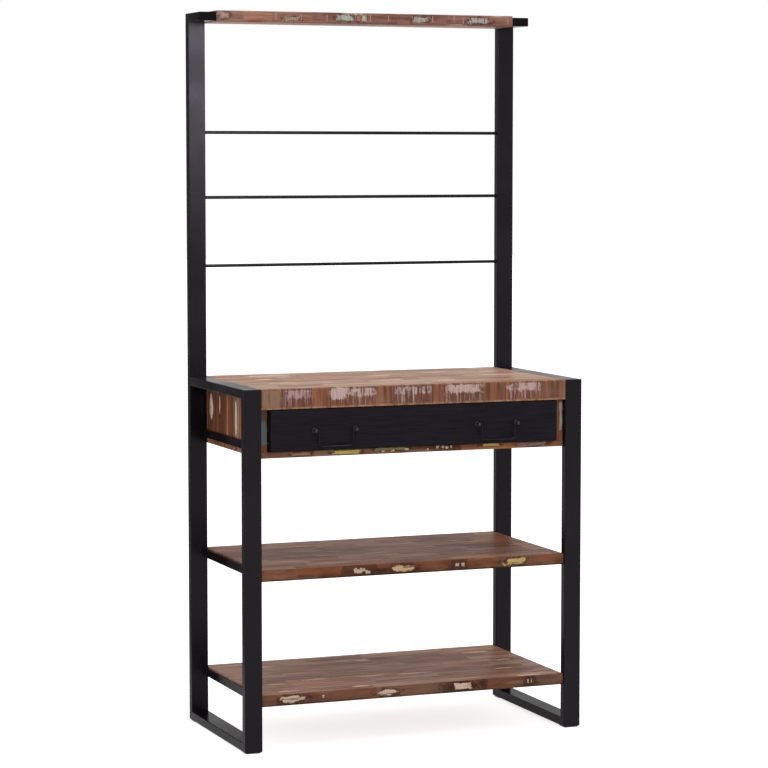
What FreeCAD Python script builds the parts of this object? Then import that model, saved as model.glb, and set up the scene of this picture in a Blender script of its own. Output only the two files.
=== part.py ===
import FreeCAD, Part
import math
import os
import re
import Sketcher

# Kitchen shelf in welded steel tube and reclaimed wood, in millimetres.
# The origin is the middle of the footprint on the floor: X to the right, Y to the back, Z up.

SIZES = {
    # The whole shelf
    "overall_width": 900,
    "overall_depth": 450,
    "counter_height": 890,
    "frame_height": 1810,
    # Steel tube of the side frames, posts and arms
    "tube_width": 45,
    "tube_depth": 22,
    "tube_wall": 1.5,
    "tube_corner": 2,
    # Feet under the bottom rails
    "glide_height": 3,
    "glide_width": 38,
    "glide_length": 36,
    "glide_inset": 2,
    # Upper frame: arms that carry the top shelf, and the plugs that join the posts to the frames
    "arm_reach": 115,
    "cap_thickness": 2,
    "spigot_height": 60,
    "spigot_wall": 2,
    "spigot_clearance": 0.3,
    "post_screw_rise": 30,
    # Hanging rods
    "rod_diameter": 8,
    "upper_rod_height": 1511,
    "middle_rod_height": 1346,
    "lower_rod_height": 1172,
    # Flat bars between the legs
    "bar_height": 20,
    "bar_thickness": 5,
    "drawer_rail_rise": 14,
    # Shelves
    "shelf_thickness": 28,
    "shelf_round": 2,
    "shelf_setback": 6,
    "middle_shelf_top": 448,
    "lower_shelf_top": 140,
    "top_shelf_rise": 4,
    "top_shelf_nose": 2,
    # Counter and the carcass below it
    "counter_thickness": 28,
    "fascia_height": 50,
    "fascia_thickness": 16,
    "panel_thickness": 20,
    "carcass_height": 170,
    "carcass_bottom_thickness": 15,
    "carcass_back_thickness": 12,
    "carcass_back_setback": 10,
    # Ball-bearing slides
    "slide_front_gap": 3,
    "slide_rear_gap": 2,
    "slide_travel_share": 0.75,
    "slide_rise": 54,
    "slide_height": 35,
    "slide_thickness": 12.7,
    "slide_wall": 1.2,
    "slide_bend": 1,
    "slide_channel": 10.2,
    "slide_lip": 2.2,
    "ball_diameter": 4.5,
    "ball_play": 0.15,
    "cage_strip": 0.8,
    "cage_gap": 0.3,
    "cage_margin": 2,
    "cage_hole_play": 0.2,
    # Drawer
    "drawer_front_thickness": 18,
    "drawer_front_round": 1.5,
    "drawer_gap": 2,
    "drawer_end_gap": 4,
    "drawer_rear_gap": 5,
    "drawer_side_thickness": 12,
    "drawer_back_thickness": 12,
    "drawer_bottom_thickness": 5,
    "drawer_box_rise": 25,
    "drawer_box_height": 80,
    "groove_rise": 8,
    "groove_depth": 5,
    "groove_play": 0.2,
    # Drop-bail handles
    "handle_spacing_share": 0.56693,
    "handle_rise": 66,
    "handle_post_spacing": 106,
    "handle_post_foot": 14,
    "handle_post_foot_height": 2.4,
    "handle_post_diameter": 10,
    "handle_post_length": 16,
    "handle_post_chamfer": 1.5,
    "pivot_reach": 10,
    "pivot_play": 0.1,
    "bail_wire": 4.5,
    "bail_width": 88,
    "bail_drop": 39,
    "bail_shoulder": 3.5,
    "bail_bend": 9,
    "bail_end": 2,
    # Fasteners
    "screw_diameter": 4.5,
    "screw_head": 8.5,
    "screw_head_height": 2.6,
    "screw_spread": 290,
    "shelf_screw_length": 40,
    "carcass_screw_length": 20,
    "post_screw_length": 8,
    "handle_screw_diameter": 3.6,
    "handle_screw_bite": 7,
    "pin_diameter": 6,
    "pin_length": 30,
    "pin_seat": 5,
    "pin_spread": 60,
    "hole_play": 0.4,
    # How far a cut runs past the face it starts from
    "overrun": 5,
}

doc = FreeCAD.newDocument("kitchen_shelf")
sheet = doc.addObject("Spreadsheet::Sheet", "sizes")
for row, (alias, value) in enumerate(SIZES.items(), start=1):
    sheet.set(f"A{row}", alias)
    sheet.set(f"B{row}", str(value))
    sheet.setAlias(f"B{row}", alias)
doc.recompute()

pieces = []

# Places that several pieces share, as formulas of the sizes above
clear_width = "(overall_width - 2 * tube_width)"
half_clear = "(overall_width / 2 - tube_width)"
frame_middle = "(overall_width - tube_width) / 2"
front = "overall_depth / 2"
leg_length = "(counter_height - glide_height)"
post_length = "(frame_height - counter_height)"
bar_length = "(overall_depth - 2 * tube_depth)"
carcass_base = "(counter_height - carcass_height)"
carcass_depth = "(overall_depth - fascia_thickness - carcass_back_setback)"
drawer_rail_height = f"({carcass_base} + drawer_rail_rise)"
panel_base = f"({carcass_base} + carcass_bottom_thickness)"
panel_height = f"(counter_height - counter_thickness - {panel_base})"
half_inside = f"({half_clear} - panel_thickness)"
drawer_front_width = f"(2 * {half_inside} - 2 * drawer_end_gap)"
drawer_box_base = f"({carcass_base} + drawer_box_rise)"
drawer_back_room = "(carcass_back_setback + carcass_back_thickness + drawer_rear_gap)"
drawer_box_depth = f"(overall_depth - drawer_front_thickness - {drawer_back_room})"
slide_start = f"({front} - drawer_front_thickness - slide_front_gap)"
slide_centre = f"({carcass_base} + slide_rise)"
slide_length = f"({drawer_box_depth} - slide_front_gap - slide_rear_gap)"
slide_travel = f"({slide_length} * slide_travel_share)"
half_box = f"({half_inside} - slide_thickness)"
box_start = f"({front} - drawer_front_thickness)"
box_inner_width = f"(2 * {half_box} - 2 * drawer_side_thickness)"
screw_hole = "(screw_diameter + 2 * hole_play)"
pin_hole = "(pin_diameter + 2 * hole_play)"
ball_height = "(slide_height / 2 - slide_wall - ball_play - ball_diameter / 2)"
ball_middle = "slide_channel / 2"
cage_length = f"({slide_length} - {slide_travel} - 2 * cage_margin)"
cage_start = f"({slide_travel} / 2 + cage_margin)"
groove_height = "(drawer_bottom_thickness + groove_play)"
handle_height = f"({carcass_base} + handle_rise)"
handle_spacing = f"({drawer_front_width} * handle_spacing_share)"
balls_in_row = 4

# Sides of the round things that repeat: few on screws, pins and their holes, more on the bent wire
fastener_sides = 6
wire_sides = 10

# How near two places have to be to count as one, and how straight an edge runs along an axis
nearness = 1e-6
alignment_share = 0.999

X_AXIS = FreeCAD.Vector(1, 0, 0)
Y_AXIS = FreeCAD.Vector(0, 1, 0)
Z_AXIS = FreeCAD.Vector(0, 0, 1)


def sized(formula):
    """A formula of size names, written as the sheet knows them."""
    return re.sub(r"[a-z]\w+", lambda word: f"sizes.{word.group()}", formula)


def number(formula):
    """What a formula of size names comes to."""
    return float(sheet.evalExpression(sized(formula)))


def bind(thing, **formulas):
    for name, formula in formulas.items():
        thing.setExpression(name, sized(formula))


def place(thing, x="0", y="0", z="0", turn=FreeCAD.Rotation()):
    thing.Placement = FreeCAD.Placement(FreeCAD.Vector(), turn)
    for axis, formula in (("x", x), ("y", y), ("z", z)):
        thing.setExpression(f"Placement.Base.{axis}", sized(formula))


def finished(piece, name):
    """A piece that is ready to be written out under its own name."""
    piece.Label = name
    pieces.append(piece)
    return piece


def turned(along_x, along_y, along_z):
    """The turn that lays a piece's own axes along the given directions."""
    return FreeCAD.Rotation(along_x, along_y, along_z, "XYZ")


def new_sketch(body, name, plane, lift="0"):
    sketch = body.newObject("Sketcher::SketchObject", name)
    support = next(part for part in body.Origin.OriginFeatures if part.Role == plane)
    sketch.AttachmentSupport = [(support, "")]
    sketch.MapMode = "FlatFace"
    sketch.setExpression("AttachmentOffset.Base.z", sized(lift))
    return sketch


def hold_point(sketch, side, end, x, y):
    """Ties one point of a sketch to two formulas."""
    for kind, axis, formula in (("DistanceX", -2, x), ("DistanceY", -1, y)):
        length = number(formula)
        if length == 0:
            sketch.addConstraint(Sketcher.Constraint("PointOnObject", side, end, axis))
        else:
            held = sketch.addConstraint(Sketcher.Constraint(kind, -1, 1, side, end, length))
            sketch.setExpression(f"Constraints[{held}]", sized(formula))


def trace(sketch, corners, centres=None, closed=True):
    """Draws sides from corner to corner. A corner named in centres starts an arc about that point."""
    centres = centres or {}
    points = [FreeCAD.Vector(number(x), number(y), 0) for x, y in corners]
    count = len(points)
    sides = []
    for index in range(count if closed else count - 1):
        start = points[index]
        end = points[(index + 1) % count]
        if index not in centres:
            side = sketch.addGeometry(Part.LineSegment(start, end), False)
            sides.append((side, 1, 2))
            continue
        x, y = centres[index]
        middle = FreeCAD.Vector(number(x), number(y), 0)
        outward = (start - middle) + (end - middle)
        outward.Length = (start - middle).Length
        side = sketch.addGeometry(Part.Arc(start, middle + outward, end), False)
        forward = sketch.getPoint(side, 1).isEqual(start, nearness)
        sides.append((side, 1, 2) if forward else (side, 2, 1))
        held = sketch.addConstraint(Sketcher.Constraint("DistanceX", -1, 1, side, 3, middle.x))
        sketch.setExpression(f"Constraints[{held}]", sized(x))
    for index, (side, first, last) in enumerate(sides):
        if index + 1 < len(sides) or closed:
            next_side, next_first, _ = sides[(index + 1) % len(sides)]
            sketch.addConstraint(Sketcher.Constraint("Coincident", side, last, next_side, next_first))
        hold_point(sketch, side, first, *corners[index])
    if not closed:
        side, _, last = sides[-1]
        hold_point(sketch, side, last, *corners[-1])


def rectangle(sketch, left, low, right, high):
    start = sketch.GeometryCount
    corners = [(left, low), (right, low), (right, high), (left, high)]
    points = [FreeCAD.Vector(number(x), number(y), 0) for x, y in corners]
    for index in range(len(corners)):
        sketch.addGeometry(Part.LineSegment(points[index - 1], points[index]), False)
    for index, (x, y) in enumerate(corners):
        following = start + (index + 1) % len(corners)
        sketch.addConstraint(Sketcher.Constraint("Coincident", start + index, 2, following, 1))
        hold_point(sketch, start + index, 2, x, y)


def circle(sketch, x, y, diameter):
    middle = FreeCAD.Vector(number(x), number(y), 0)
    ring = sketch.addGeometry(Part.Circle(middle, Z_AXIS, number(diameter) / 2), False)
    hold_point(sketch, ring, 3, x, y)
    held = sketch.addConstraint(Sketcher.Constraint("Diameter", ring, number(diameter)))
    sketch.setExpression(f"Constraints[{held}]", sized(diameter))


def polygon(sketch, x, y, diameter, sides):
    """A regular outline, for round things that repeat and are drawn with few faces."""
    corners = []
    for index in range(sides):
        angle = 2 * math.pi * index / sides
        across = f"({x}) + {math.cos(angle):.6f} * ({diameter}) / 2"
        along = f"({y}) + {math.sin(angle):.6f} * ({diameter}) / 2"
        corners.append((across, along))
    trace(sketch, corners)


def raise_from(body, sketch, length, kind="Pad", symmetric=False, reverse=False):
    feature = body.newObject(f"PartDesign::{kind}", kind.lower())
    feature.Profile = sketch
    bind(feature, Length=length)
    feature.SideType = "Symmetric" if symmetric else "One side"
    feature.Reversed = reverse
    sketch.Visibility = False
    return feature


def cut_from(body, sketch, length, symmetric=False, reverse=False):
    """Cuts a sketch's outline out of a body, and makes sure that the cut meets it."""
    doc.recompute()
    before = body.Shape.Volume
    feature = raise_from(body, sketch, length, "Pocket", symmetric, reverse)
    doc.recompute()
    if body.Shape.Volume >= before:
        raise RuntimeError(f"{body.Name}: {sketch.Name} cuts nothing")
    return feature


def round_edges(body, feature, radius, wanted):
    """Rounds the edges of a feature that a test picks out."""
    doc.recompute()
    names = [f"Edge{index}" for index, edge in enumerate(feature.Shape.Edges, start=1) if wanted(edge)]
    fillet = body.newObject("PartDesign::Fillet", "rounding")
    fillet.Base = (feature, names)
    bind(fillet, Radius=radius)
    return fillet


def runs_along(axis):
    """A test for straight edges that run along an axis."""
    def wanted(edge):
        straight = isinstance(edge.Curve, Part.Line)
        return straight and abs(edge.Curve.Direction.dot(axis)) > alignment_share
    return wanted


def mirror_image(source, name):
    """The right-hand twin of a left-hand piece."""
    twin = doc.addObject("Part::Mirroring", name)
    twin.Source = source
    twin.Normal = X_AXIS
    return finished(twin, name)


def pair(source, name):
    finished(source, f"left_{name}")
    mirror_image(source, f"right_{name}")


def group(source, name, spots):
    """A set of like pieces: one link to the source for each spot, joined in one compound."""
    links = []
    for spot in spots:
        link = doc.addObject("App::Link", f"{name}_one")
        link.LinkedObject = source
        place(link, **spot)
        links.append(link)
    compound = doc.addObject("Part::Compound", name)
    compound.Links = links
    return compound


# Steel tube

def mitred_tube(name, length, mitred_start, mitred_end):
    """A hollow tube along X. Its outer side lies on Y zero, and a mitred end slopes in from there."""
    body = doc.addObject("PartDesign::Body", name)
    outline = new_sketch(body, "side_outline", "XY_Plane")
    inner_start = "tube_depth" if mitred_start else "0"
    inner_end = f"{length} - tube_depth" if mitred_end else length
    trace(outline, [("0", "0"), (length, "0"), (inner_end, "tube_depth"), (inner_start, "tube_depth")])
    solid = raise_from(body, outline, "tube_width", symmetric=True)
    round_edges(body, solid, "tube_corner", runs_along(X_AXIS))
    hollow = new_sketch(body, "hollow", "XY_Plane")
    rectangle(hollow, "-overrun", "tube_wall", f"{length} + overrun", "tube_depth - tube_wall")
    cut_from(body, hollow, "tube_width - 2 * tube_wall", symmetric=True)
    return body


FORWARD_UNDER = turned(-Y_AXIS, -Z_AXIS, X_AXIS)
BACKWARD_OVER = turned(Y_AXIS, Z_AXIS, X_AXIS)
UP_BEHIND = turned(Z_AXIS, Y_AXIS, -X_AXIS)
UP_BEFORE = turned(Z_AXIS, -Y_AXIS, X_AXIS)

front_leg = mitred_tube("front_leg", leg_length, True, True)
place(front_leg, f"-{frame_middle}", f"-{front}", "glide_height", UP_BEHIND)
pair(front_leg, "front_leg")

back_leg = mitred_tube("back_leg", leg_length, True, True)
place(back_leg, f"-{frame_middle}", front, "glide_height", UP_BEFORE)
pair(back_leg, "back_leg")

top_rail = mitred_tube("top_rail", "overall_depth", True, True)
place(top_rail, f"-{frame_middle}", front, "counter_height", FORWARD_UNDER)
pair(top_rail, "top_rail")

bottom_rail = mitred_tube("bottom_rail", "overall_depth", True, True)
place(bottom_rail, f"-{frame_middle}", f"-{front}", "glide_height", BACKWARD_OVER)
pair(bottom_rail, "bottom_rail")

# Upper frame: each post stands on the back corner of a side frame and turns into an arm

rod_heights = {
    "upper_rod": "upper_rod_height",
    "middle_rod": "middle_rod_height",
    "lower_rod": "lower_rod_height",
}

post = mitred_tube("post", post_length, False, True)
post_screw_hole = new_sketch(post, "post_screw_hole", "XZ_Plane")
polygon(post_screw_hole, "post_screw_rise", "0", screw_hole, fastener_sides)
cut_from(post, post_screw_hole, "2 * tube_wall")
place(post, f"-{frame_middle}", front, "counter_height", UP_BEFORE)
pair(post, "post")

arm = mitred_tube("arm", "(arm_reach - cap_thickness)", True, False)
pin_places = [("arm_reach / 2 - pin_spread / 2", "tube_depth / 2"),
              ("arm_reach / 2 + pin_spread / 2", "tube_depth / 2")]
arm_pin_holes = new_sketch(arm, "pin_holes", "XY_Plane", "tube_width / 2")
for x, y in pin_places:
    polygon(arm_pin_holes, x, y, pin_hole, fastener_sides)
cut_from(arm, arm_pin_holes, "2 * tube_wall")
place(arm, f"-{frame_middle}", front, "frame_height", FORWARD_UNDER)
pair(arm, "arm")

cap = doc.addObject("PartDesign::Body", "arm_cap")
cap_outline = new_sketch(cap, "cap_outline", "XY_Plane")
rectangle(cap_outline, "0", "0", "tube_width", "cap_thickness")
cap_plate = raise_from(cap, cap_outline, "tube_depth")
round_edges(cap, cap_plate, "tube_corner", runs_along(Y_AXIS))
place(cap, "-overall_width / 2", f"{front} - arm_reach", "frame_height - tube_depth")
pair(cap, "arm_cap")

spigot = doc.addObject("PartDesign::Body", "post_spigot")
spigot_outline = new_sketch(spigot, "spigot_outline", "XY_Plane")
spigot_gap = "(tube_wall + spigot_clearance)"
spigot_bore = f"({spigot_gap} + spigot_wall)"
for inset in (spigot_gap, spigot_bore):
    rectangle(spigot_outline, inset, inset, f"tube_width - {inset}", f"tube_depth - {inset}")
raise_from(spigot, spigot_outline, "spigot_height")
spigot_hole = new_sketch(spigot, "spigot_hole", "XZ_Plane", "-tube_depth")
polygon(spigot_hole, "tube_width / 2", "post_screw_rise", screw_hole, fastener_sides)
cut_from(spigot, spigot_hole, f"{spigot_bore} + spigot_wall", reverse=True)
place(spigot, "-overall_width / 2", f"{front} - tube_depth", "counter_height")
pair(spigot, "post_spigot")

# Hanging rods, welded between the posts

for name, height in rod_heights.items():
    rod = doc.addObject("Part::Cylinder", name)
    bind(rod, Radius="rod_diameter / 2", Height=clear_width)
    place(rod, f"-{half_clear}", f"{front} - tube_depth / 2", height, turned(-Z_AXIS, Y_AXIS, X_AXIS))
    finished(rod, name)


# Flat bars between the legs

screw_spots = ("-screw_spread / 2", "screw_spread / 2")


def flat_bar(name, height):
    body = doc.addObject("PartDesign::Body", name)
    outline = new_sketch(body, "bar_outline", "XY_Plane")
    rectangle(outline, "0", "0", "bar_thickness", bar_length)
    raise_from(body, outline, "bar_height")
    holes = new_sketch(body, "screw_holes", "YZ_Plane")
    for spot in screw_spots:
        polygon(holes, f"{bar_length} / 2 + {spot}", "bar_height / 2", screw_hole, fastener_sides)
    cut_from(body, holes, "bar_thickness", reverse=True)
    place(body, f"-{half_clear} - bar_thickness", f"-{bar_length} / 2", height)
    pair(body, name)


bar_heights = {
    "drawer_rail": drawer_rail_height,
    "middle_shelf_rail": "(middle_shelf_top - shelf_thickness / 2 - bar_height / 2)",
    "lower_shelf_rail": "(lower_shelf_top - shelf_thickness / 2 - bar_height / 2)",
}
for name, height in bar_heights.items():
    flat_bar(name, height)


# Wooden boards

def board(name, width, depth, thickness, rounding=None):
    """A board that lies flat, with its long edges eased where a rounding is given."""
    body = doc.addObject("PartDesign::Body", name)
    outline = new_sketch(body, "board_outline", "XY_Plane")
    rectangle(outline, "0", "0", width, depth)
    solid = raise_from(body, outline, thickness)
    if rounding:
        round_edges(body, solid, rounding, runs_along(X_AXIS))
    return body


def drill_ends(body, width, spots, diameter, depth):
    """Blind holes into the two ends of a board."""
    for end, inward in (("0", True), (width, False)):
        holes = new_sketch(body, "end_holes", "YZ_Plane", end)
        for y, z in spots:
            polygon(holes, y, z, diameter, fastener_sides)
        cut_from(body, holes, depth, reverse=inward)


def shelf(name, top):
    body = board(name, clear_width, "overall_depth - shelf_setback", "shelf_thickness", "shelf_round")
    spots = [(f"{front} - shelf_setback + {spot}", "shelf_thickness / 2") for spot in screw_spots]
    drill_ends(body, clear_width, spots, screw_hole, "shelf_screw_length")
    place(body, f"-{half_clear}", f"-{front} + shelf_setback", f"{top} - shelf_thickness")
    finished(body, name)


shelf("middle_shelf", "middle_shelf_top")
shelf("lower_shelf", "lower_shelf_top")

top_shelf_depth = "(arm_reach + top_shelf_nose)"
top_shelf_base = "(frame_height + top_shelf_rise - shelf_thickness)"
pin_height = "(frame_height - tube_depth / 2)"
top_shelf = board("top_shelf", clear_width, top_shelf_depth, "shelf_thickness", "shelf_round")
top_shelf_pin_holes = [(f"{top_shelf_depth} - ({reach})", f"{pin_height} - {top_shelf_base}")
                       for reach, _ in pin_places]
drill_ends(top_shelf, clear_width, top_shelf_pin_holes, pin_hole, "pin_length")
place(top_shelf, f"-{half_clear}", f"{front} - {top_shelf_depth}", top_shelf_base)
finished(top_shelf, "top_shelf")

counter_top = board("counter_top", clear_width, "overall_depth - fascia_thickness", "counter_thickness")
place(counter_top, f"-{half_clear}", f"-{front} + fascia_thickness", "counter_height - counter_thickness")
finished(counter_top, "counter_top")

fascia = board("counter_fascia", clear_width, "fascia_thickness", "fascia_height")
round_edges(fascia, fascia.Tip, "shelf_round",
            lambda edge: runs_along(X_AXIS)(edge) and edge.CenterOfMass.y < number("fascia_thickness") / 2)
place(fascia, f"-{half_clear}", f"-{front}", "counter_height - fascia_height")
finished(fascia, "counter_fascia")

# Carcass of the drawer

side_panel = board("side_panel", "panel_thickness", carcass_depth, panel_height)
panel_holes = new_sketch(side_panel, "panel_holes", "YZ_Plane")
for spot in screw_spots:
    polygon(panel_holes, f"{front} - fascia_thickness + {spot}",
            f"{drawer_rail_height} + bar_height / 2 - {panel_base}", screw_hole, fastener_sides)
cut_from(side_panel, panel_holes, "carcass_screw_length - bar_thickness", reverse=True)
place(side_panel, f"-{half_clear}", f"-{front} + fascia_thickness", panel_base)
pair(side_panel, "side_panel")

carcass_bottom = board("carcass_bottom", clear_width, carcass_depth, "carcass_bottom_thickness")
place(carcass_bottom, f"-{half_clear}", f"-{front} + fascia_thickness", carcass_base)
finished(carcass_bottom, "carcass_bottom")

carcass_back = board("carcass_back", f"2 * {half_inside}", "carcass_back_thickness", panel_height)
place(carcass_back, f"-{half_inside}", f"{front} - carcass_back_setback - carcass_back_thickness", panel_base)
finished(carcass_back, "carcass_back")


# Ball-bearing slides: a lipped channel on the cabinet, a plain channel on the drawer,
# and between them a cage with pockets for two rows of balls, which runs half as far as the drawer

def channel(name, corners, length):
    """A rolled strip along Y, from its section across X and Z."""
    body = doc.addObject("PartDesign::Body", name)
    section = new_sketch(body, "section", "XZ_Plane")
    trace(section, corners)
    raise_from(body, section, length, reverse=True)
    return body


half_slide = "(slide_height / 2)"
cabinet_section = [
    ("0", f"-{half_slide}"),
    ("slide_channel", f"-{half_slide}"),
    ("slide_channel", f"-{half_slide} + slide_lip"),
    ("slide_channel - slide_wall", f"-{half_slide} + slide_lip"),
    ("slide_channel - slide_wall", f"-{half_slide} + slide_wall"),
    ("slide_wall", f"-{half_slide} + slide_wall"),
    ("slide_wall", f"{half_slide} - slide_wall"),
    ("slide_channel - slide_wall", f"{half_slide} - slide_wall"),
    ("slide_channel - slide_wall", f"{half_slide} - slide_lip"),
    ("slide_channel", f"{half_slide} - slide_lip"),
    ("slide_channel", half_slide),
    ("0", half_slide),
]
cabinet_member = channel("cabinet_slide", cabinet_section, slide_length)


def outer_bend(edge):
    tall = abs(abs(edge.CenterOfMass.z) - number(half_slide)) < nearness
    return tall and runs_along(Y_AXIS)(edge)


round_edges(cabinet_member, cabinet_member.Tip, "slide_bend", outer_bend)
place(cabinet_member, f"-{half_inside}", f"-{slide_start}", slide_centre)
pair(cabinet_member, "cabinet_slide")

half_runner = f"({ball_height} - ball_diameter / 2 - ball_play)"
runner_tip = "(slide_wall + 2 * cage_gap + cage_strip)"
drawer_section = [
    (runner_tip, f"-{half_runner}"),
    ("slide_thickness", f"-{half_runner}"),
    ("slide_thickness", half_runner),
    (runner_tip, half_runner),
    (runner_tip, f"{half_runner} - slide_wall"),
    ("slide_thickness - slide_wall", f"{half_runner} - slide_wall"),
    ("slide_thickness - slide_wall", f"-{half_runner} + slide_wall"),
    (runner_tip, f"-{half_runner} + slide_wall"),
]
drawer_member = channel("drawer_slide", drawer_section, slide_length)
place(drawer_member, f"-{half_inside}", f"-{slide_start}", slide_centre)
pair(drawer_member, "drawer_slide")

cage_back = "(slide_wall + cage_gap)"
cage_half = f"({ball_height} + cage_strip / 2)"
cage_edge = "(slide_channel - slide_wall - cage_gap)"
cage_section = [
    (cage_back, f"-{cage_half}"),
    (cage_edge, f"-{cage_half}"),
    (cage_edge, f"-{cage_half} + cage_strip"),
    (f"{cage_back} + cage_strip", f"-{cage_half} + cage_strip"),
    (f"{cage_back} + cage_strip", f"{cage_half} - cage_strip"),
    (cage_edge, f"{cage_half} - cage_strip"),
    (cage_edge, cage_half),
    (cage_back, cage_half),
]
cage = channel("ball_cage", cage_section, cage_length)
ball_steps = [f"{cage_length} * {2 * index + 1} / {2 * balls_in_row}" for index in range(balls_in_row)]
pockets = new_sketch(cage, "ball_pockets", "XY_Plane")
for step in ball_steps:
    polygon(pockets, ball_middle, step, "ball_diameter + 2 * cage_hole_play", fastener_sides)
cut_from(cage, pockets, "slide_height", symmetric=True)
place(cage, f"-{half_inside}", f"-{slide_start} + {cage_start}", slide_centre)
pair(cage, "ball_cage")

# Drawer

drawer_front_base = f"({panel_base} + drawer_gap)"
drawer_front_height = f"(counter_height - fascia_height - drawer_gap - {drawer_front_base})"
drawer_front = board("drawer_front", drawer_front_width, "drawer_front_thickness", drawer_front_height,
                     "drawer_front_round")
front_groove = new_sketch(drawer_front, "bottom_groove", "YZ_Plane", f"{drawer_front_width} / 2")
groove_low = f"({drawer_box_base} + groove_rise - {drawer_front_base})"
rectangle(front_groove, "drawer_front_thickness - groove_depth", groove_low,
          "drawer_front_thickness + overrun", f"{groove_low} + {groove_height}")
cut_from(drawer_front, front_groove, f"2 * {half_box}", symmetric=True)
handle_places = [f"{side} * {handle_spacing} / 2 + {end} * handle_post_spacing / 2"
                 for side in (-1, 1) for end in (-1, 1)]
front_holes = new_sketch(drawer_front, "handle_holes", "XZ_Plane")
for spot in handle_places:
    polygon(front_holes, f"{drawer_front_width} / 2 + {spot}", f"{handle_height} - {drawer_front_base}",
            "handle_screw_diameter + 2 * hole_play", fastener_sides)
cut_from(drawer_front, front_holes, "drawer_front_thickness")
place(drawer_front, f"-{drawer_front_width} / 2", f"-{front}", drawer_front_base)
finished(drawer_front, "drawer_front")

drawer_side = board("drawer_side", "drawer_side_thickness", drawer_box_depth, "drawer_box_height")
side_groove = new_sketch(drawer_side, "bottom_groove", "XZ_Plane")
rectangle(side_groove, "drawer_side_thickness - groove_depth", "groove_rise",
          "drawer_side_thickness + overrun", f"groove_rise + {groove_height}")
cut_from(drawer_side, side_groove, drawer_box_depth)
place(drawer_side, f"-{half_box}", f"-{box_start}", drawer_box_base)
pair(drawer_side, "drawer_side")

bottom_top = f"(groove_rise + {groove_height})"
drawer_back = board("drawer_back", box_inner_width, "drawer_back_thickness",
                    f"drawer_box_height - {bottom_top}")
place(drawer_back, f"-{box_inner_width} / 2", f"-{box_start} + {drawer_box_depth} - drawer_back_thickness",
      f"{drawer_box_base} + {bottom_top}")
finished(drawer_back, "drawer_back")

bottom_width = f"({box_inner_width} + 2 * groove_depth - 2 * groove_play)"
drawer_bottom = board("drawer_bottom", bottom_width, f"{drawer_box_depth} + groove_depth - groove_play",
                      "drawer_bottom_thickness")
place(drawer_bottom, f"-{bottom_width} / 2", f"-{box_start} - groove_depth + groove_play",
      f"{drawer_box_base} + groove_rise")
finished(drawer_bottom, "drawer_bottom")

# Drop-bail handles: two turned posts hold the ends of a bent wire

handle_post = doc.addObject("PartDesign::Body", "handle_post")
post_section = new_sketch(handle_post, "post_section", "XY_Plane")
bore = "(handle_screw_diameter / 2 + hole_play / 2)"
bore_depth = "(handle_screw_bite + hole_play)"
trace(post_section, [
    (bore, "0"),
    ("handle_post_foot / 2", "0"),
    ("handle_post_foot / 2", "handle_post_foot_height / 2"),
    ("handle_post_diameter / 2", "handle_post_foot_height"),
    ("handle_post_diameter / 2", "handle_post_length - handle_post_chamfer"),
    ("handle_post_diameter / 2 - handle_post_chamfer", "handle_post_length"),
    ("0", "handle_post_length"),
    ("0", bore_depth),
    (bore, bore_depth),
])
post_turning = handle_post.newObject("PartDesign::Revolution", "turning")
post_turning.Profile = post_section
post_turning.ReferenceAxis = (post_section, ["V_Axis"])
post_section.Visibility = False
pivot_hole = new_sketch(handle_post, "pivot_hole", "YZ_Plane")
circle(pivot_hole, "pivot_reach", "0", "bail_wire + 2 * pivot_play")
cut_from(handle_post, pivot_hole, "2 * handle_post_diameter", symmetric=True)

bail = doc.addObject("PartDesign::Body", "bail")
bail_path = new_sketch(bail, "bail_path", "XZ_Plane")
bail_tip = "(handle_post_spacing / 2 + handle_post_diameter / 2 + bail_end)"
leg = "(bail_width / 2)"
shoulder = f"({leg} + bail_shoulder)"
lower_bend = f"({leg} - bail_bend)"
bail_half = [
    (bail_tip, "0"),
    (shoulder, "0"),
    (leg, "-bail_shoulder"),
    (leg, "-bail_drop + bail_bend"),
    (lower_bend, "-bail_drop"),
]
other_half = [(f"-{x}", y) for x, y in reversed(bail_half)]
trace(bail_path, bail_half + other_half, {
    1: (shoulder, "-bail_shoulder"),
    3: (lower_bend, "-bail_drop + bail_bend"),
    5: (f"-{lower_bend}", "-bail_drop + bail_bend"),
    7: (f"-{shoulder}", "-bail_shoulder"),
}, closed=False)
wire_section = new_sketch(bail, "wire_section", "YZ_Plane", bail_tip)
polygon(wire_section, "0", "0", "bail_wire", wire_sides)
wire = bail.newObject("PartDesign::AdditivePipe", "wire")
wire.Profile = wire_section
wire.Spine = bail_path
bail_path.Visibility = False
wire_section.Visibility = False

TURNED_OUT = turned(-X_AXIS, -Y_AXIS, Z_AXIS)
post_spots = [{"x": spot, "y": f"-{front}", "z": handle_height, "turn": TURNED_OUT}
              for spot in handle_places]
finished(group(handle_post, "handle_posts", post_spots), "handle_posts")
for side, name in ((-1, "left_bail"), (1, "right_bail")):
    bail_spot = {"x": f"{side} * {handle_spacing} / 2", "y": f"-{front} - pivot_reach", "z": handle_height}
    finished(group(bail, name, [bail_spot]), name)


# Fasteners

def screw(name, diameter, length):
    """A screw along Y, six-sided to keep its faces few: its head stands below Y zero."""
    body = doc.addObject("PartDesign::Body", name)
    shank = new_sketch(body, "shank", "XZ_Plane")
    polygon(shank, "0", "0", diameter, fastener_sides)
    raise_from(body, shank, length, reverse=True)
    head = new_sketch(body, "head", "XZ_Plane")
    polygon(head, "0", "0", "screw_head", fastener_sides)
    raise_from(body, head, "screw_head_height")
    return body


INTO_LEFT = turned(-Y_AXIS, X_AXIS, Z_AXIS)
INTO_RIGHT = turned(Y_AXIS, -X_AXIS, Z_AXIS)


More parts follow.
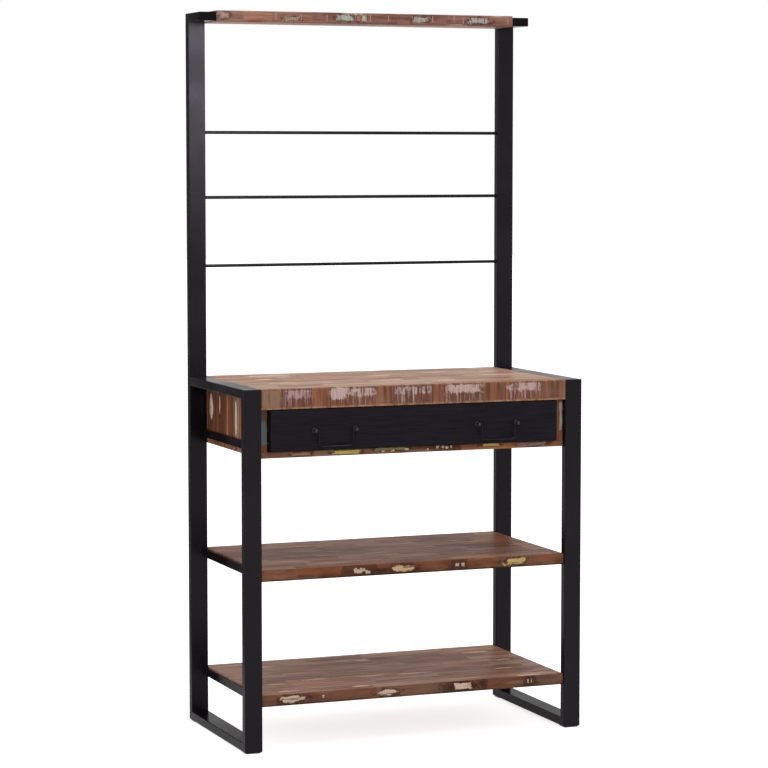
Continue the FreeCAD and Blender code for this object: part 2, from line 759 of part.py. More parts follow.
def side_screws(heights):
    """Screws through the bars of both side frames, at the given heights."""
    return [{"x": f"{side} * ({half_clear} + bar_thickness)", "y": spot, "z": f"{height} + bar_height / 2",
             "turn": INTO_LEFT if side < 0 else INTO_RIGHT}
            for side in (-1, 1) for spot in screw_spots for height in heights]


shelf_screw = screw("shelf_screw", "screw_diameter", "shelf_screw_length")
shelf_rails = [bar_heights["middle_shelf_rail"], bar_heights["lower_shelf_rail"]]
finished(group(shelf_screw, "shelf_screws", side_screws(shelf_rails)), "shelf_screws")

carcass_screw = screw("carcass_screw", "screw_diameter", "carcass_screw_length")
carcass_rails = [bar_heights["drawer_rail"]]
finished(group(carcass_screw, "carcass_screws", side_screws(carcass_rails)), "carcass_screws")

post_screw = screw("post_screw", "screw_diameter", "post_screw_length")
post_screw_spots = [{"x": f"{side} * {frame_middle}", "y": front, "z": "counter_height + post_screw_rise",
                     "turn": TURNED_OUT} for side in (-1, 1)]
finished(group(post_screw, "post_screws", post_screw_spots), "post_screws")

handle_screw = screw("handle_screw", "handle_screw_diameter", "drawer_front_thickness + handle_screw_bite")
handle_screw_spots = [{"x": spot, "y": f"-{box_start}", "z": handle_height, "turn": TURNED_OUT}
                      for spot in handle_places]
finished(group(handle_screw, "handle_screws", handle_screw_spots), "handle_screws")

pin = doc.addObject("Part::Prism", "top_shelf_pin")
pin.Polygon = fastener_sides
bind(pin, Circumradius="pin_diameter / 2", Height="pin_length")
pin_spots = [{"x": f"{side} * ({half_clear} + pin_seat)", "y": f"{front} - ({reach})", "z": pin_height,
              "turn": turned(Y_AXIS, -side * Z_AXIS, -side * X_AXIS)}
             for side in (-1, 1) for reach, _ in pin_places]
finished(group(pin, "top_shelf_pins", pin_spots), "top_shelf_pins")

glide = doc.addObject("PartDesign::Body", "glide")
glide_outline = new_sketch(glide, "glide_outline", "XY_Plane")
rectangle(glide_outline, "-glide_width / 2", "-glide_length / 2", "glide_width / 2", "glide_length / 2")
raise_from(glide, glide_outline, "glide_height")
glide_spots = [{"x": f"{side} * {frame_middle}",
                "y": f"{end} * ({front} - glide_inset - glide_length / 2)"}
               for side in (-1, 1) for end in (-1, 1)]
finished(group(glide, "foot_glides", glide_spots), "foot_glides")

# Every feature has to be sound before anything is written

doc.recompute()
for thing in doc.Objects:
    if "Invalid" in thing.State or "Error" in thing.State:
        raise RuntimeError(f"{thing.Label} did not build: {thing.State}")
for piece in pieces:
    if piece.Shape.isNull() or not piece.Shape.isValid() or not piece.Shape.Solids:
        raise RuntimeError(f"{piece.Label} is not a sound solid")

wire_length = (number(f"2 * ({bail_tip} - {shoulder}) + 2 * (bail_drop - bail_shoulder - bail_bend)")
               + number(f"2 * {lower_bend}")
               + math.pi * number("bail_shoulder + bail_bend"))
wire_turn = 2 * math.pi / wire_sides
wire_area = wire_sides / 2 * (number("bail_wire") / 2) ** 2 * math.sin(wire_turn)
wire_volume = wire_length * wire_area
print(f"bail volume {bail.Shape.Volume:.1f}, wire section times length {wire_volume:.1f}")

os.makedirs("parts", exist_ok=True)
for piece in pieces:
    piece.Shape.exportStep(f"parts/{piece.Label}.step")
print(f"{len(pieces)} pieces written")
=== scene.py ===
# %% [markdown]
# # A kitchen shelf of reclaimed wood and black steel tube
#
# The shelf stands on two welded side frames of flat steel tube. They carry a wooden counter with one
# wide drawer under it and two open shelves below, and two posts rise behind the counter to a shallow
# top shelf, with three rods between them to hang things on. The steel is already exact in the frame
# that this script loads, so it only needs its finish. The wood, the handles and the small fittings
# are modelled here, because that is where the hand of the maker shows.

# %% Load the frame
import math
import random
from functools import partial

import bmesh
import bpy
from mathutils import Matrix, Vector


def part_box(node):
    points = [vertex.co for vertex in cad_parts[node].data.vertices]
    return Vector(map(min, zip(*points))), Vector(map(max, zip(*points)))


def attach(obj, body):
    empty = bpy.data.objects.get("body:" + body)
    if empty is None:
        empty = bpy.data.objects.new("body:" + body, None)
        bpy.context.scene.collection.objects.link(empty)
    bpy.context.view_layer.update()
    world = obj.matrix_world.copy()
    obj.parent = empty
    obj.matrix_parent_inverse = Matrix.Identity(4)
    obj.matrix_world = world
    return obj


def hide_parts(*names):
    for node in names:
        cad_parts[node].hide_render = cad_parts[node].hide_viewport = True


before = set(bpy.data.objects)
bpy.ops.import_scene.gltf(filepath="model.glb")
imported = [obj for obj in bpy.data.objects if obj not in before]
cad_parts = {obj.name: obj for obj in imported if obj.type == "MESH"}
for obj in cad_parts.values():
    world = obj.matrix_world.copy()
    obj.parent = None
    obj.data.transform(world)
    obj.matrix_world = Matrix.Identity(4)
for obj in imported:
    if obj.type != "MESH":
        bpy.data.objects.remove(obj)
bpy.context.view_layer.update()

mm = 0.001

# %% [markdown]
# ## The camera
#
# The photograph looks at the shelf from its front left, from a little below the rods, with a long
# lens. A long lens far away keeps the posts nearly parallel. The camera is placed by its position
# and two angles: how far it is turned to the right, and how far it is tilted down.

# %% Camera
camera_place = Vector((-2.5578, -6.4776, 1.4545))
camera_turn = 0.37631
camera_tilt = -0.08319
camera_lens_mm = 128.9

camera_data = bpy.data.cameras.new("camera")
camera_data.lens = camera_lens_mm
camera = bpy.data.objects.new("camera", camera_data)
camera.location = camera_place
camera.rotation_euler = (math.pi / 2 + camera_tilt, 0, -camera_turn)
bpy.context.scene.collection.objects.link(camera)
bpy.context.scene.camera = camera
print("camera", [round(value, 3) for value in camera.location], "lens", camera_lens_mm)

# %% [markdown]
# ## Helpers for shader nodes
#
# A material is a tree of small nodes. Adding each by hand takes several lines, so these helpers add
# a node, set what is a plain value, and link what comes from another node. A socket knows its tree,
# so a node that takes something in lands in the right tree by itself. Colours are written as they
# look on a screen, from 0 to 255, and turned into the linear numbers that a shader wants.

# %% Node helpers
def tint(red, green, blue):
    """A screen colour as linear numbers with an alpha of one."""
    def linear(value):
        value = value / 255
        return value / 12.92 if value <= 0.04045 else ((value + 0.055) / 1.055) ** 2.4
    return (linear(red), linear(green), linear(blue), 1.0)


def linked(value):
    return isinstance(value, bpy.types.NodeSocket)


def home(*values):
    """The tree of those values that come from another node."""
    return next(value.id_data for value in values if linked(value))


def feed(socket, value):
    if linked(value):
        socket.id_data.links.new(value, socket)
    else:
        socket.default_value = value


def add(tree, kind, settings=None, **inputs):
    """Adds a node. Input names are written with underscores for their spaces."""
    made = tree.nodes.new(kind)
    for key, value in (settings or {}).items():
        setattr(made, key, value)
    for key, value in inputs.items():
        feed(made.inputs[key.replace("_", " ")], value)
    return made


print("a mid brown in linear numbers:", [round(value, 3) for value in tint(130, 86, 68)])

# %% [markdown]
# Sums are nodes too. The common ones get short names, so that a finish reads like a recipe. Noise on
# a place that is stretched is drawn out along one axis, as wood grain and brushed metal are.

# %% Sums
def maths(operation, *values, kind="ShaderNodeMath"):
    made = add(home(*values), kind, {"operation": operation})
    for socket, value in zip(made.inputs, values):
        feed(socket, value)
    return made.outputs[0]


times = partial(maths, "MULTIPLY")
plus = partial(maths, "ADD")
less = partial(maths, "SUBTRACT")
larger = partial(maths, "MAXIMUM")
vector_maths = partial(maths, kind="ShaderNodeVectorMath")
stretched = partial(vector_maths, "MULTIPLY")
print("sums by name:", times.args + plus.args + less.args + larger.args)

# %% [markdown]
# Most finishes are a colour that drifts between two or more tones by some noise. So there are
# helpers for mixing colours, for ramps, for mapping one range to another, and for noise.

# %% Colour and noise helpers
def mixed(factor, first, second, blend="MIX"):
    """Mixes two colours, from other nodes or as on a screen, by a factor from 0 to 1."""
    made = add(home(factor, first, second), "ShaderNodeMix",
               {"data_type": "RGBA", "blend_type": blend})
    feed(made.inputs[0], factor)
    for index, colour in ((6, first), (7, second)):
        feed(made.inputs[index], colour if linked(colour) else tint(*colour))
    return made.outputs[2]


def ramp(factor, stops):
    """A colour ramp from pairs of place and colour."""
    made = add(factor.id_data, "ShaderNodeValToRGB", Fac=factor)
    elements = made.color_ramp.elements
    while len(elements) < len(stops):
        elements.new(0.5)
    for element, (place, colour) in zip(elements, stops):
        element.position = place
        element.color = tint(*colour)
    return made.outputs[0]


def between(value, low, high, to_low=0.0, to_high=1.0):
    """Maps a range of values smoothly to another one."""
    made = add(value.id_data, "ShaderNodeMapRange", {"interpolation_type": "SMOOTHSTEP"}, Value=value,
               From_Min=low, From_Max=high, To_Min=to_low, To_Max=to_high)
    return made.outputs[0]


def noise(place, scale, detail=3.0, roughness=0.5, distortion=0.0):
    made = add(place.id_data, "ShaderNodeTexNoise", Vector=place, Scale=scale, Detail=detail,
               Roughness=roughness, Distortion=distortion)
    return made.outputs[0]


def axes_of(place):
    return add(place.id_data, "ShaderNodeSeparateXYZ", Vector=place).outputs


def bump(height, strength, distance):
    made = add(height.id_data, "ShaderNodeBump", Height=height, Strength=strength, Distance=distance)
    return made.outputs[0]


print("colour and noise helpers ready")

# %% Finish helpers
def new_finish(name):
    """A fresh node material, its Principled shader, and where a point is on the object, in metres."""
    material = bpy.data.materials.new(name)
    material.use_nodes = True
    place = add(material.node_tree, "ShaderNodeTexCoord").outputs["Object"]
    return material, material.node_tree.nodes["Principled BSDF"], place


def set_finish(shader, **sockets):
    for key, value in sockets.items():
        feed(shader.inputs[key.replace("_", " ")], value)


def dress(names, material):
    """Gives CAD nodes a finish."""
    for name in names:
        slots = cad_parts[name].data.materials
        slots.clear()
        slots.append(material)


print("finish helpers ready")

# %% [markdown]
# ## The studio
#
# A plain white room: the floor and the world look white to the camera and in reflections, while the
# light that falls on the shelf is softer. The floor adds a part of its own diffuse light to a steady
# white, so the shelf's shadow stays on it.

# %% Floor and world
floor_half = 30
floor_glow = 0.74
world_level = 0.8

def seen_directly(tree):
    """One for camera, glossy and transmission rays, else nought."""
    path = add(tree, "ShaderNodeLightPath").outputs
    return larger(larger(path["Is Camera Ray"], path["Is Glossy Ray"]), path["Is Transmission Ray"])


def paper(name, level):
    """A matt paper of one grey level."""
    material, shader = new_finish(name)[:2]
    set_finish(shader, Base_Color=(level, level, level, 1), Roughness=1.0, Specular_IOR_Level=0.0)
    return material, shader


def start(primitive, **settings):
    """Adds a primitive as the only selected object."""
    bpy.ops.object.select_all(action="DESELECT")
    primitive(**settings)
    return bpy.context.object


floor = start(bpy.ops.mesh.primitive_plane_add, size=2 * floor_half)
floor.name = "floor"
floor_paper, shader = paper("white paper", 0.8)
tree = shader.id_data
glow = add(tree, "ShaderNodeEmission", Strength=times(seen_directly(tree), floor_glow))
both = add(tree, "ShaderNodeAddShader")
feed(both.inputs[0], shader.outputs[0])
feed(both.inputs[1], glow.outputs[0])
feed(tree.nodes["Material Output"].inputs["Surface"], both.outputs[0])
floor.data.materials.append(floor_paper)

world = bpy.data.worlds.new("white room")
bpy.context.scene.world = world
world.use_nodes = True
sky = world.node_tree.nodes["Background"]
level = between(seen_directly(world.node_tree), 0, 1, world_level, 1.0)
set_finish(sky, Strength=level, Color=(1, 1, 1, 1))
bpy.context.scene.view_settings.view_transform = "Standard"
print("floor", floor.dimensions[:2], "world level", world_level)

# %% [markdown]
# One wide soft box hangs above. A tall one stands at the right in front, where the left post's face
# mirrors it, which is why that post is lighter at its top. It only shows in reflections, and so does
# a black card behind the left end. The outer sides of the steel mirror the card and stay dark.

# %% Soft boxes and black card
def soft_box(name, place, look_at, width, height, power):
    data = bpy.data.lights.new(name, "AREA")
    data.shape = "RECTANGLE"
    data.size = width
    data.size_y = height
    data.energy = power
    lamp = bpy.data.objects.new(name, data)
    lamp.location = place
    lamp.rotation_euler = (Vector(look_at) - Vector(place)).to_track_quat("-Z", "Y").to_euler()
    bpy.context.scene.collection.objects.link(lamp)
    return lamp


card_low, card_high = Vector((-0.75, 0.45, 0.0)), Vector((-0.75, 1.4, 2.3))
card = start(bpy.ops.mesh.primitive_plane_add, size=1, location=(card_low + card_high) / 2,
             rotation=(0, math.pi / 2, 0))
card.name = "black_card"
card.scale = (card_high.z - card_low.z, card_high.y - card_low.y, 1)
card.visible_camera = card.visible_diffuse = card.visible_shadow = False
card.data.materials.append(paper("black paper", 0.004)[0])

top_light = soft_box("top light", (0.2, -0.9, 4.2), (0, 0, 0.9), width=3.0, height=3.0, power=42)
side_light = soft_box("side light", (0.5, -2.65, 2.05), (-0.4, 0.2, 1.75), width=0.6, height=1.1, power=38)
side_light.visible_diffuse = False
print("lamps:", [(lamp.name, lamp.data.energy) for lamp in (top_light, side_light)])

# %% [markdown]
# ## Black powder coat
#
# The tubes, bars and rods are sprayed with black powder and baked to a satin skin with a breath of
# violet. It has the fine dimples of orange peel, drifts slightly in sheen, and is a little grey where
# dust settled. It is plastic, not bare metal, so metallic stays at nought. A low index of refraction
# keeps its sides dark in the white room, and only a very flat angle shines, as on the tops of the
# bottom rails. The specular tint gives back the faint shine that mirrors the soft box. The arms' end
# caps were ground flat, so their coat is duller, and hands have polished the handles' posts.

# %% Powder coat
coat_ior = 1.08

def sprayed(name, glint, dullness):
    """A black powder coat with a shine straight on, a glint, and a dullness that drifts a little."""
    material, shader, place = new_finish(name)
    drift = noise(place, 7, detail=4, roughness=0.6)
    peel = noise(place, 750, detail=2)
    specks = noise(place, 260, detail=4, roughness=0.7)
    coat = mixed(between(drift, 0.35, 0.65), (18, 14, 17), (25, 20, 24))
    coat = mixed(between(specks, 0.66, 0.74, 0, 0.3), coat, (56, 52, 56))
    sheen = between(drift, 0.3, 0.7, dullness - 0.04, dullness + 0.05)
    set_finish(shader, Base_Color=coat, Roughness=sheen, IOR=coat_ior, Specular_Tint=glint,
               Normal=bump(peel, 0.12, 0.15 * mm))
    return material


powder_coat = sprayed("black powder coat", (6.3, 6.1, 7.0, 1), 0.25)
ground_coat = sprayed("coat over ground ends", (1.0, 1.0, 1.1, 1), 0.5)
handled_coat = sprayed("coat polished by hands", (19.0, 18.3, 20.5, 1), 0.3)
sides = ("left", "right")
tube_names = ("front_leg", "back_leg", "top_rail", "bottom_rail", "post", "arm", "post_spigot")
bar_names = ("drawer_rail", "middle_shelf_rail", "lower_shelf_rail")
steel_nodes = [f"{side}_{name}" for side in sides for name in tube_names + bar_names]
steel_nodes += ["upper_rod", "middle_rod", "lower_rod"]
dress(steel_nodes, powder_coat)
dress([f"{side}_arm_cap" for side in sides], ground_coat)
print("powder coated:", len(steel_nodes), "nodes and two ground caps")

# %% [markdown]
# ## Helpers for modelling
#
# Every new piece starts as a primitive and is shaped in edit mode. Blender's operators act on what is
# selected, so these helpers select one object, or the faces, edges or points of a mesh that pass a
# test on their place. A finished piece's place goes into its mesh, with its object at the origin.

# %% Objects
near = 0.01 * mm

def only(piece):
    """Makes one piece the only selected object."""
    bpy.ops.object.select_all(action="DESELECT")
    piece.select_set(True)
    bpy.context.view_layer.objects.active = piece


def settle(piece, name):
    """Names a piece and puts its place, turn and size into its mesh."""
    only(piece)
    bpy.ops.object.transform_apply(location=True, rotation=True, scale=True)
    piece.name = piece.data.name = name
    return piece


def block_between(name, low, high):
    """A block from one corner to the opposite one."""
    block = start(bpy.ops.mesh.primitive_cube_add, size=1, location=(low + high) / 2)
    block.scale = high - low
    return settle(block, name)


def apply(piece, kind, **settings):
    """Adds a modifier, sets it and applies it."""
    only(piece)
    modifier = piece.modifiers.new(kind.lower(), kind)
    for key, value in settings.items():
        setattr(modifier, key, value)
    bpy.ops.object.modifier_apply(modifier=modifier.name)


def smooth(piece, sharp):
    """Shades a piece smoothly, but for edges sharper than an angle in degrees."""
    only(piece)
    bpy.ops.object.shade_smooth_by_angle(angle=math.radians(sharp))


def fit(piece, body, slot, material, *nodes):
    """Sets a finished piece on its body, with its finish and the CAD nodes that it stands for."""
    piece.data.materials.clear()
    piece.data.materials.append(material)
    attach(piece, body)
    if nodes:
        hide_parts(*nodes)
    print(piece.name, "has", len(piece.data.polygons), "faces")


print("points closer than", near / mm, "mm count as one")

# %% Edit mode
def edit(piece):
    only(piece)
    bpy.ops.object.mode_set(mode="EDIT")


def leave():
    bpy.ops.object.mode_set(mode="OBJECT")


def pick(piece, kind, wanted):
    """Selects the points, edges or faces that the wanted test holds for."""
    bpy.ops.mesh.select_mode(type=kind)
    bpy.ops.mesh.select_all(action="DESELECT")
    mesh = bmesh.from_edit_mesh(piece.data)
    for part in {"VERT": mesh.verts, "EDGE": mesh.edges, "FACE": mesh.faces}[kind]:
        if wanted(part):
            part.select_set(True)
    bmesh.update_edit_mesh(piece.data)


def close_up():
    """Merges doubled points and turns all faces outwards."""
    bpy.ops.mesh.select_all(action="SELECT")
    bpy.ops.mesh.remove_doubles(threshold=near)
    bpy.ops.mesh.normals_make_consistent(inside=False)


print("edit mode helpers ready")

# %% [markdown]
# ## Boards glued up from old planks
#
# Each board of the shelf is laid up from narrow strips sawn out of old painted timber. To make one,
# a block is eased along its edges and sawn along the seams with bisect planes. A narrow bevel opens
# each seam to a fine groove. Cuts across the grain then give the board points to work with, and a
# soft displacement gives it the slight waves of a hand-sanded face.

# %% How a board is laid up
board_ease = 1.6 * mm
seam_groove = 0.5 * mm
board_wave = 0.7 * mm
grain_step = 24 * mm
least_strip = 12 * mm
X, Y, Z = 0, 1, 2
wave_texture = bpy.data.textures.new("sanded waves", "CLOUDS")
wave_texture.noise_scale = 0.07

def along_axis(axis, inside, outside):
    """Three numbers: one for an axis, and another for the two axes across it."""
    numbers = Vector((outside, outside, outside))
    numbers[axis] = inside
    return numbers


def spread(node, across, widths):
    """Seams across a board at a repeating list of widths, in millimetres."""
    low, high = (corner[across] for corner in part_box(node))
    seams = []
    while low + widths[len(seams) % len(widths)] * mm < high - least_strip:
        low += widths[len(seams) % len(widths)] * mm
        seams.append(low)
    return seams


def lay_up(node, across, along, seams):
    """Models a board's planks over a CAD node, with seams across one axis and grain along another."""
    low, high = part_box(node)
    board = block_between(node + "_planks", low, high)
    edit(board)
    bpy.ops.mesh.select_all(action="SELECT")
    bpy.ops.mesh.bevel(offset=board_ease, segments=3)
    saw = along_axis(across, 1, 0)
    for seam in seams:
        bpy.ops.mesh.select_all(action="SELECT")
        bpy.ops.mesh.bisect(plane_co=saw * seam, plane_no=saw)

    def on_seam(point):
        return any(abs(point.co[across] - seam) < near for seam in seams)

    def long_grain(edge):
        return abs(edge.verts[1].co[along] - edge.verts[0].co[along]) > grain_step

    pick(board, "EDGE", lambda edge: all(on_seam(point) for point in edge.verts))
    bpy.ops.mesh.bevel(offset=seam_groove, segments=2)
    pick(board, "VERT", on_seam)
    bpy.ops.transform.shrink_fatten(value=-seam_groove)
    pick(board, "EDGE", long_grain)
    bpy.ops.mesh.subdivide(number_cuts=max(1, round((high - low)[along] / grain_step)))
    leave()
    apply(board, "DISPLACE", texture=wave_texture, texture_coords="LOCAL", strength=board_wave)
    smooth(board, 40)
    return board


print("a board's edges are eased by", board_ease / mm, "mm")

# %% [markdown]
# At the end each plank gets a tone and a grain of its own, stored on the mesh as colours, so that the
# finish changes exactly where one plank ends and the next begins.

# %% How its planks are marked
def mark_planks(board, across, along, seams, plank_length, seed):
    """Stores each plank's tone, its own grain and its seams as a colour on the mesh."""
    chance = random.Random(seed)
    reach = [point.co[along] for point in board.data.vertices]
    low, high = min(reach), max(reach)
    rows = []
    for row in range(len(seams) + 1):
        ends = [low + chance.uniform(0.3, 1.0) * plank_length]
        while ends[-1] < high:
            ends.append(ends[-1] + chance.uniform(0.55, 1.35) * plank_length)
        rows.append([(end, chance.random(), chance.random()) for end in ends])
    colours = board.data.attributes.new("plank", "FLOAT_COLOR", "CORNER")
    for face in board.data.polygons:
        row = rows[sum(face.center[across] > seam for seam in seams)]
        end, tone, own = next((plank for plank in row if face.center[along] <= plank[0] + near), row[-1])
        in_seam = any(abs(face.center[across] - seam) < seam_groove for seam in seams)
        for corner in face.loop_indices:
            colours.data[corner].color = (tone, own, float(in_seam), 1)
    return sum(len(row) for row in rows)


print("planks follow from a seed, so each run gives the same ones")

# %% [markdown]
# ## The reclaimed wood
#
# The planks kept their age: browns from dark to orange, grey silvering, long fibres, and remains of
# old paint in cream, pink and pale green. A remnant of paint is a square patch or an oval with a ragged
# edge, and both are node groups, because they are used many times. Around it lies a rim of dark stain,
# and the paint itself has worn off in lines, mostly along the grain.

# %% Worn paint
def paint_group(name, rounded):
    """A node group that covers a box or an oval about a place, with a ragged edge."""
    group = bpy.data.node_groups.new(name, "ShaderNodeTree")
    for socket in ("Place", "Centre", "Half"):
        group.interface.new_socket(socket, in_out="INPUT", socket_type="NodeSocketVector")
    group.interface.new_socket("Ragged", in_out="INPUT", socket_type="NodeSocketFloat")
    group.interface.new_socket("Cover", in_out="OUTPUT", socket_type="NodeSocketFloat")
    given = add(group, "NodeGroupInput").outputs
    away = vector_maths("SUBTRACT", given["Place"], given["Centre"])
    away = vector_maths("ABSOLUTE", vector_maths("DIVIDE", away, given["Half"]))
    if rounded:
        reach = vector_maths("LENGTH", away).node.outputs["Value"]
    else:
        x, y, z = axes_of(away)
        reach = larger(larger(x, y), z)
    rag = noise(given["Place"], 70, detail=6, roughness=0.75)
    rag = times(less(rag, 0.52), given["Ragged"])
    cover = between(plus(less(1.0, reach), rag), 0.0, 0.2)
    add(group, "NodeGroupOutput", Cover=cover)
    return group


def cover_of(shape, place, centre, half, ragged):
    made = add(place.id_data, "ShaderNodeGroup", {"node_tree": shape}, Place=place, Centre=centre,
               Half=half, Ragged=ragged)
    return made.outputs[0]


patch = paint_group("worn paint", rounded=False)
oval = paint_group("worn paint spot", rounded=True)
print("paint groups:", patch.name, "and", oval.name)

# %% Marks of paint
old_stain = (56, 34, 28)
dirt = (132, 104, 84)
rim_size = 1.55
aside = Vector((0.37, 0.21, 0.53))

def marked(place, worn, fine, marks, colour, painted):
    """Paints worn marks, each in a dark rim. A mark with no colour is its rim alone."""
    elsewhere = vector_maths("ADD", place, aside)
    for shape, centre, half, ragged, paint_colour, dark_rim in marks:
        centre = Vector(centre) * mm
        half = Vector(half) * mm
        rim = cover_of(oval, elsewhere, centre + aside, half * rim_size, ragged * 1.3)
        colour = mixed(times(rim, dark_rim), colour, old_stain)
        if not paint_colour:
            continue
        cover = cover_of(shape, place, centre, half, ragged)
        cover = times(cover, between(worn, 0.37, 0.49, 0.05, 1))
        dirty = mixed(between(fine, 0.4, 0.7, 0, 0.35), paint_colour, dirt)
        colour = mixed(times(cover, 0.94), colour, dirty)
        painted = larger(painted, cover)
    return colour, painted


print("a mark's rim is", rim_size, "times as large as the mark")

# %% [markdown]
# The plank colour that the mesh carries picks the tone. The fibres are noise that is stretched along
# the grain, and stretched cells give the thin flakes that lie along it. A clear satin lacquer lies
# over all of it, so even the bare wood has a soft shine, and the paint is only a little duller.

# %% Reclaimed wood
wood_ior = 1.14
flake_tones = [(0.0, (214, 194, 160)), (0.3, (190, 152, 146)), (0.55, (120, 84, 66)),
               (0.75, (168, 160, 140)), (1.0, (206, 176, 142))]

def flaked(place, along, fine, share, colour):
    """Lays thin flakes of old paint along the grain, on a share of the cells."""
    tree = place.id_data
    cells = add(tree, "ShaderNodeTexVoronoi", Scale=1.0,
                Vector=stretched(place, along_axis(along, 9, 62))).outputs
    luck = add(tree, "ShaderNodeSeparateColor", Color=cells["Color"]).outputs
    edge = plus(cells["Distance"], times(fine, 0.5))
    chosen = maths("GREATER_THAN", luck[0], 1 - share)
    flake = times(between(edge, 0.42, 0.62, 1, 0), chosen)
    return mixed(times(flake, 0.8), colour, ramp(luck[1], flake_tones)), flake


def reclaimed_wood(name, along, tones, marks=(), flake_share=0.2, paint=None, wear=None):
    """A finish of old planks whose grain runs along one axis, with marks of old paint on it.

    The marks wear off along the grain, or along the axis that wear gives.
    """
    material, shader, place = new_finish(name)
    tree = shader.id_data
    plank = add(tree, "ShaderNodeAttribute", {"attribute_name": "plank"})
    tone, own, seam = add(tree, "ShaderNodeSeparateColor", Color=plank.outputs["Color"]).outputs
    own_place = vector_maths("ADD", place, stretched(own, (9, 17, 5)))
    fibre_place = stretched(own_place, along_axis(along, 1, 14))
    fibres = noise(fibre_place, 7, detail=8, roughness=0.62, distortion=0.4)
    fine_place = stretched(own_place, along_axis(along, 1.75, 70))
    fine = noise(fine_place, 9, detail=4, roughness=0.7)
    cloud = noise(own_place, 14)
    worn_place = stretched(own_place, along_axis(along if wear is None else wear, 1, 14))
    worn = noise(worn_place, 16, detail=6, roughness=0.75)
    colour = ramp(tone, tones)
    dark = mixed(1.0, colour, (196, 184, 176), "MULTIPLY")
    colour = mixed(between(fibres, 0.36, 0.62), dark, colour)
    colour = mixed(between(cloud, 0.5, 0.8, 0, 0.4), colour, (150, 124, 112))
    colour = mixed(between(fine, 0.55, 0.8, 0, 0.45), colour, (64, 40, 30))
    colour, painted = flaked(own_place, along, fine, flake_share, colour)
    if paint:
        colour, painted = paint(place, colour, painted)
    colour, painted = marked(place, worn, fine, marks, colour, painted)
    colour = mixed(times(seam, 0.75), colour, (40, 25, 19))
    height = plus(times(fibres, 0.7), times(painted, 0.5))
    rough = plus(between(fibres, 0.3, 0.7, 0.52, 0.4), times(painted, 0.1))
    set_finish(shader, Base_Color=colour, Roughness=rough, IOR=wood_ior,
               Normal=bump(height, 0.35, 0.4 * mm))
    return material


def plank_board(node, across, along, seams, tones, length, seed, **finish):
    """Lays up a board over a CAD node and fits it, with a wood of its own, to the frame."""
    board = lay_up(node, across, along, seams)
    count = mark_planks(board, across, along, seams, length * mm, seed)
    wood = reclaimed_wood(node + " wood", along, tones, **finish)
    fit(board, "frame", "reclaimed_wood", wood, node)
    print(node, "is laid up from", count, "pieces of plank")


print("flakes come in", len(flake_tones), "tones")

# %% [markdown]
# ## The middle and lower shelf
#
# Both shelves are laid up alike, with strips along their length, but the lower one's tones are a
# lighter copy, painted light against the shade under the middle shelf. Their sawn edges are painted
# darker than their tops as painted shade, the lower shelf's more so, and darker still along the lower
# corner. What differs besides is the old paint on the front edges: a few worn marks each, at places
# read from the photograph, some of them on a dark stain.

# %% Marks on an edge or a top
cream = (230, 201, 177)
off_white = (202, 180, 163)
shelf_front = -219
mark_depth, streak_depth, stain_half, dab_half = 6, 4, 13, 5

def edge_marks(shape, rows, y=shelf_front, ragged=1.8, dark_rim=0.65):
    """Marks on a front edge, from rows of both ends, height, half height and colour, in millimetres."""
    marks = []
    for from_x, to_x, z, half_z, colour in rows:
        half = ((to_x - from_x) / 2, mark_depth, half_z)
        marks.append((shape, ((from_x + to_x) / 2, y, z), half, ragged, colour, dark_rim))
    return marks


def stains(z, *stretches):
    """Old dark stain on a front edge: marks with no paint, only their dark rims."""
    return edge_marks(oval, [(*ends, z, stain_half, None) for ends in stretches], dark_rim=0.6)


def streak(x, y, z, long, wide, colour=cream):
    """A thin flake of paint that lies along the grain on a top face."""
    return (oval, (x, y, z), (long / 2, wide / 2, streak_depth), 2.2, colour, 0.15)


middle_z = 434
dabs = [(-160, 1, 9), (-153, -1, 6), (-145, 0, 8), (-138, 2, 5), (-130, -4, 6), (-124, -5, 5)]
dabs = [(x - dab_half, x + dab_half, middle_z + up, half_z, off_white) for x, up, half_z in dabs]
pair = [(106, 117, middle_z, 5, off_white), (122, 132, middle_z, 5, off_white)]
middle_marks = stains(middle_z, (-188, -106)) + edge_marks(oval, dabs, ragged=2.2, dark_rim=0)
middle_marks += edge_marks(oval, [(-66, 2, middle_z, 9, (218, 182, 138))])
middle_marks += stains(middle_z, (94, 139)) + edge_marks(patch, pair, ragged=1.4)
middle_marks += edge_marks(patch, [(240, 298, middle_z + 1, 9, (206, 180, 114))], ragged=2.2)

lower_z, lower_top = 127, 140
ovals = [(-358, -296, lower_z, 10, cream), (-249, -241, lower_z + 1, 4, cream),
         (-101, -47, lower_z - 1, 8, cream)]
pair = [(305, 309, lower_z, 6, off_white), (315, 318, lower_z, 6, off_white)]
lower_marks = stains(lower_z, (77, 168), (180, 194), (296, 332)) + edge_marks(oval, ovals)
lower_marks += edge_marks(patch, [(101, 155, lower_z, 9, cream)]) + edge_marks(patch, pair, ragged=1.2)
lower_streaks = [(-270, 138), (-322, -88), (-207, -63), (-65, -71), (-8, 135), (-136, -187),
                 (-326, -182), (48, -78), (336, 15), (297, -95), (310, -203), (314, 138)]
for index, (x, y) in enumerate(lower_streaks):
    lower_marks.append(streak(x, y, lower_top, 52 + 11 * (index % 4), 13 + 3 * (index % 3)))
print(len(middle_marks), "marks on the middle shelf and", len(lower_marks), "on the lower one")

# %% Two open shelves
shelf_tones = [(0.0, (126, 80, 58)), (0.3, (146, 96, 70)), (0.55, (156, 108, 82)),
               (0.8, (164, 126, 106)), (1.0, (174, 110, 72))]
# Painted light: a lighter copy of the shelf tones, so the lower shelf's top looks lit out of the shade under
# the middle shelf.
lit_lower_tones = [(0.0, (148, 102, 80)), (0.3, (168, 121, 97)), (0.55, (178, 133, 110)),
               (0.8, (184, 149, 132)), (1.0, (190, 132, 98))]
edge_tones = [(0.36, (70, 40, 28)), (0.5, (124, 76, 54)), (0.62, (156, 92, 58))]
shelf_widths = (46, 38, 52, 34, 43)

